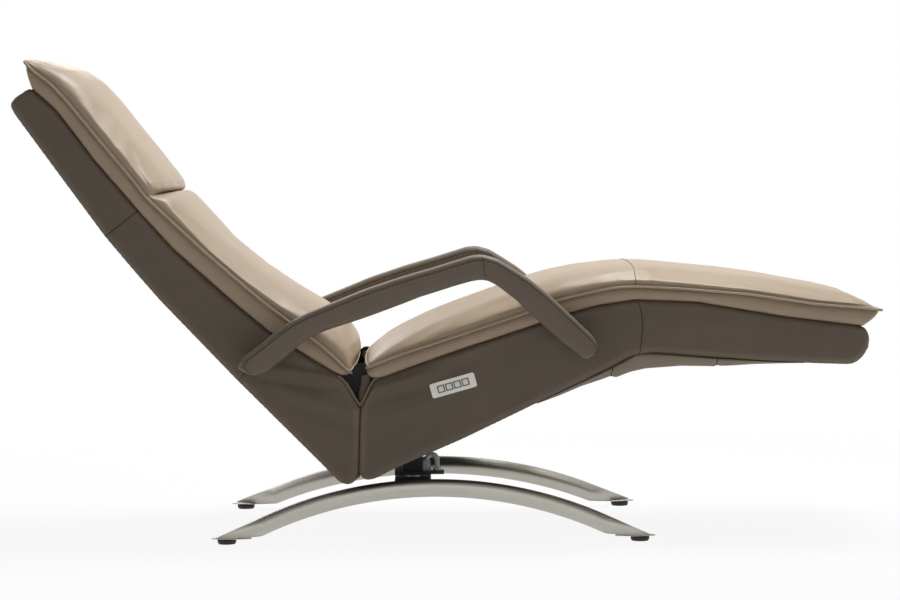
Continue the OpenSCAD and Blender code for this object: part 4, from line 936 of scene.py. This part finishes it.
def arm(side, word):
    """One padded arm: a bent cover of squarish section, with its seams and a row of stitches on each face."""
    middle, body = side * ARM_MID, "arm_" + word
    even = np.unique(np.r_[paced(150, 0.65, 0.35), 0.0015, 0.004, 0.008, 0.992, 0.996, 0.9985])
    count = len(even)
    top, under = eased(ARM_TOP, even, 5), eased(ARM_UNDER, even, 5)
    centre, tall = (top + under) / 2, norm(top - under, axis=1) / 2
    run = walked(centre)
    rings = []
    for k in range(count):
        blunt = float(rolled(min(run[k], run[-1] - run[k]), 0.014))
        deep, wide = (top[k] - under[k]) / 2 * (1 - 14 * blunt), ARM_HALF - 0.9 * blunt
        ring = []
        for j in range(48):
            a = 2 * math.pi * j / 48
            x, z = centre[k] + deep * superround(sin(a), 0.5)
            y = middle + wide * superround(cos(a), 0.36)
            pull = 0.0006 * ripple(x, y, z, 12)
            ring.append((x, y + math.copysign(pull, cos(a)), z + 0.5 * pull))
        rings.append(ring)
    belongs(swept("arm_cover_" + word, rings, ARM), body=body, nodes=[body])
    up = (top - under) / norm(top - under, axis=1)[:, None]
    bend = int(np.argmax(top[:, 1]))
    # The seam runs just under the top edge and curls round both ends
    inset, curls = 0.0095, []
    for k, step in ((9, -1), (count - 9, 1)):
        ahead = centre[k + step] - centre[k]
        ahead -= up[k] * (ahead @ up[k])
        ahead /= norm(ahead)
        curls.append([centre[k] + (tall[k] - inset) * (cos(a) * up[k] + sin(a) * ahead)
                      for a in np.linspace(0, 2.6, 16)[1:]])
    seam = np.vstack([curls[0][::-1], (top - up * inset)[9:-8], curls[1]])
    cross = np.array([top[bend] - up[bend] * d for d in np.linspace(0.005, 2 * tall[bend] - 0.005, 24)])
    for face in (-1, 1):
        y = middle + face * (ARM_HALF + 0.0001)
        for kind, line in (("long", seam), ("bend", cross)):
            name = "%s_%s_seam_%d" % (body, kind, face + 2)
            belongs(corded(name, [(x, y, z) for x, z in line], 0.0006, ARM_SEAM), body=body)
        stitching("%s_stitches_%d" % (body, face + 2), (top - up * (inset + 0.0032))[9:-8], y, body)


for side, word in SIDES:
    arm(side, word)

# ---- Steel arches: a flat-sided round tube bent in a plane that leans inwards
ARCH_R, ARCH_T, ARCH_W, LEAN = 0.690, 0.028, 0.040, math.radians(38)
# Half the distance between the glides, less the plate's reach past the tube
CHORD = 0.394 - 0.026
BASE_X, FOOT_Y, PLATE_TOP = -0.021 * BODY_L, 0.275, 0.012
RISE = ARCH_R - math.sqrt(ARCH_R ** 2 - CHORD ** 2)


def arch(side, word):
    """One arch, its ends cut level on the foot plates."""
    near = math.asin(CHORD / ARCH_R) - math.radians(4)
    section = [(ARCH_T / 2 * cos(a), s * (ARCH_W - ARCH_T) / 2 + ARCH_T / 2 * sin(a))
               for s, start in ((1, 0), (-1, math.pi)) for a in np.linspace(start, start + math.pi, 13)]

    def spot(q, a):
        rise = RISE - ARCH_R + (ARCH_R + q[0]) * cos(a)
        return Vector((BASE_X + (ARCH_R + q[0]) * sin(a),
                       side * (FOOT_Y - rise * sin(LEAN) + q[1] * cos(LEAN)),
                       PLATE_TOP + rise * cos(LEAN) + q[1] * sin(LEAN)))

    def foot(q, a):
        run = Vector((cos(a), side * sin(a) * sin(LEAN), -sin(a) * cos(LEAN)))
        return spot(q, a) - run * (spot(q, a).z - PLATE_TOP) / run.z

    rings = [[foot(q, -near) for q in section]]
    rings += [[spot(q, a) for q in section] for a in np.linspace(-near, near, 121)]
    rings += [[foot(q, near) for q in section]]
    belongs(swept("arch_tube_" + word, [[tuple(p) for p in ring] for ring in rings], STEEL),
            body="base", nodes=["base_arch_" + word])


for side, word in SIDES:
    arch(side, word)


def foot_plate(number, x_side, y_side):
    """A thin steel plate under each tube end, pointed like a leaf, its rim turned down a little."""
    low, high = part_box("foot_glides")
    middle = np.array([BASE_X + x_side * (high.x - low.x - 0.034) / 2, y_side * (high.y - 0.017)])
    reach, half, rings = 0.038, 0.0205, []
    for t in np.linspace(-1, 1, 33):
        wide = half * max(0.02, 1 - abs(t) ** 2.2)
        x = middle[0] + x_side * (reach * t - 0.010)
        drop = 0.0012 * abs(t) ** 3
        rings.append([(x, middle[1] + wide * cos(a),
                       PLATE_TOP - 0.0012 - drop + 0.0014 * superround(sin(a), 0.6)) for a in circle_angles(20)])
    belongs(swept("foot_plate_%d" % number, rings, STEEL), body="base",
            nodes=["foot_plates"] if number == 1 else ())


for number, (x_side, y_side) in enumerate(((-1, -1), (1, -1), (-1, 1), (1, 1))):
    foot_plate(number + 1, x_side, y_side)


# ---- Moulded elbow round the motor lead
def elbow():
    low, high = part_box("lead_elbow")
    radius, rib = (high.y - low.y) / 2, 0.0006
    left, right = low.x + radius, high.x - radius
    bend = (right - left) / 2
    middle, y, top = (left + right) / 2, (low.y + high.y) / 2, high.z - radius - bend
    path = [(left, y, z) for z in np.linspace(top - 0.0019, top, 3)]
    path += [(middle - bend * cos(a), y, top + bend * sin(a))
             for a in np.linspace(0.1, math.pi - 0.1, 24)]
    path += [(right, y, z) for z in np.linspace(top, low.z, 12)]
    belongs(corded("lead_elbow_tube", path, radius - rib, ELBOW), body="swivel_head",
            nodes=["lead_elbow"])
    for number, k in enumerate(range(5, 25, 3)):
        ahead = Vector(path[k + 1]) - Vector(path[k - 1])
        turn = Matrix.Translation(path[k]) @ ahead.to_track_quat("Z", "Y").to_matrix().to_4x4()
        circle = [tuple(turn @ Vector(((radius - rib) * cos(a), (radius - rib) * sin(a), 0)))
                  for a in circle_angles(24)]
        belongs(corded("elbow_rib_%d" % (number + 1), circle, rib, ELBOW, closed=True),
                body="swivel_head")


elbow()


# ---- Floor
def floor():
    """A white floor that glows for the camera beyond the part's shadow."""
    bm = bmesh.new()
    bmesh.ops.create_grid(bm, x_segments=1, y_segments=1, size=14)
    made, nt, skin = new_material("floor_white")
    stops = [(0.3, (0.90, 0.90, 0.90)), (0.7, (0.93, 0.93, 0.93))]
    link(nt, colour_stops(nt, cloudy(nt, pattern_space(nt), 1.5, 2), stops), skin.inputs["Base Color"])
    put(skin, Roughness=0.9, Specular_IOR_Level=0.1)
    paths = add(nt, "ShaderNodeLightPath")
    # White where the part's shadow doesn't reach, and most of the way there under it
    away = put(add(nt, "ShaderNodeVectorMath", operation="LENGTH"))
    link(nt, pattern_space(nt), away.inputs[0])
    white = add(nt, "ShaderNodeMapRange", interpolation_type="SMOOTHSTEP")
    put(white, From_Min=0.9, From_Max=2.4, To_Min=0.9, To_Max=1.0)
    link(nt, away.outputs["Value"], white.inputs["Value"])
    shown = sums(nt, "MULTIPLY", sums(nt, "MAXIMUM", paths.outputs["Is Camera Ray"], paths.outputs["Is Glossy Ray"]),
                 white.outputs["Result"])
    glow = put(add(nt, "ShaderNodeEmission"), Color=(1, 1, 1, 1), Strength=1.0)
    mixed = either_shader(nt, shown, skin.outputs[0], glow.outputs[0])
    link(nt, mixed, nt.nodes["Material Output"].inputs["Surface"])
    keep("floor", bm, made)


floor()
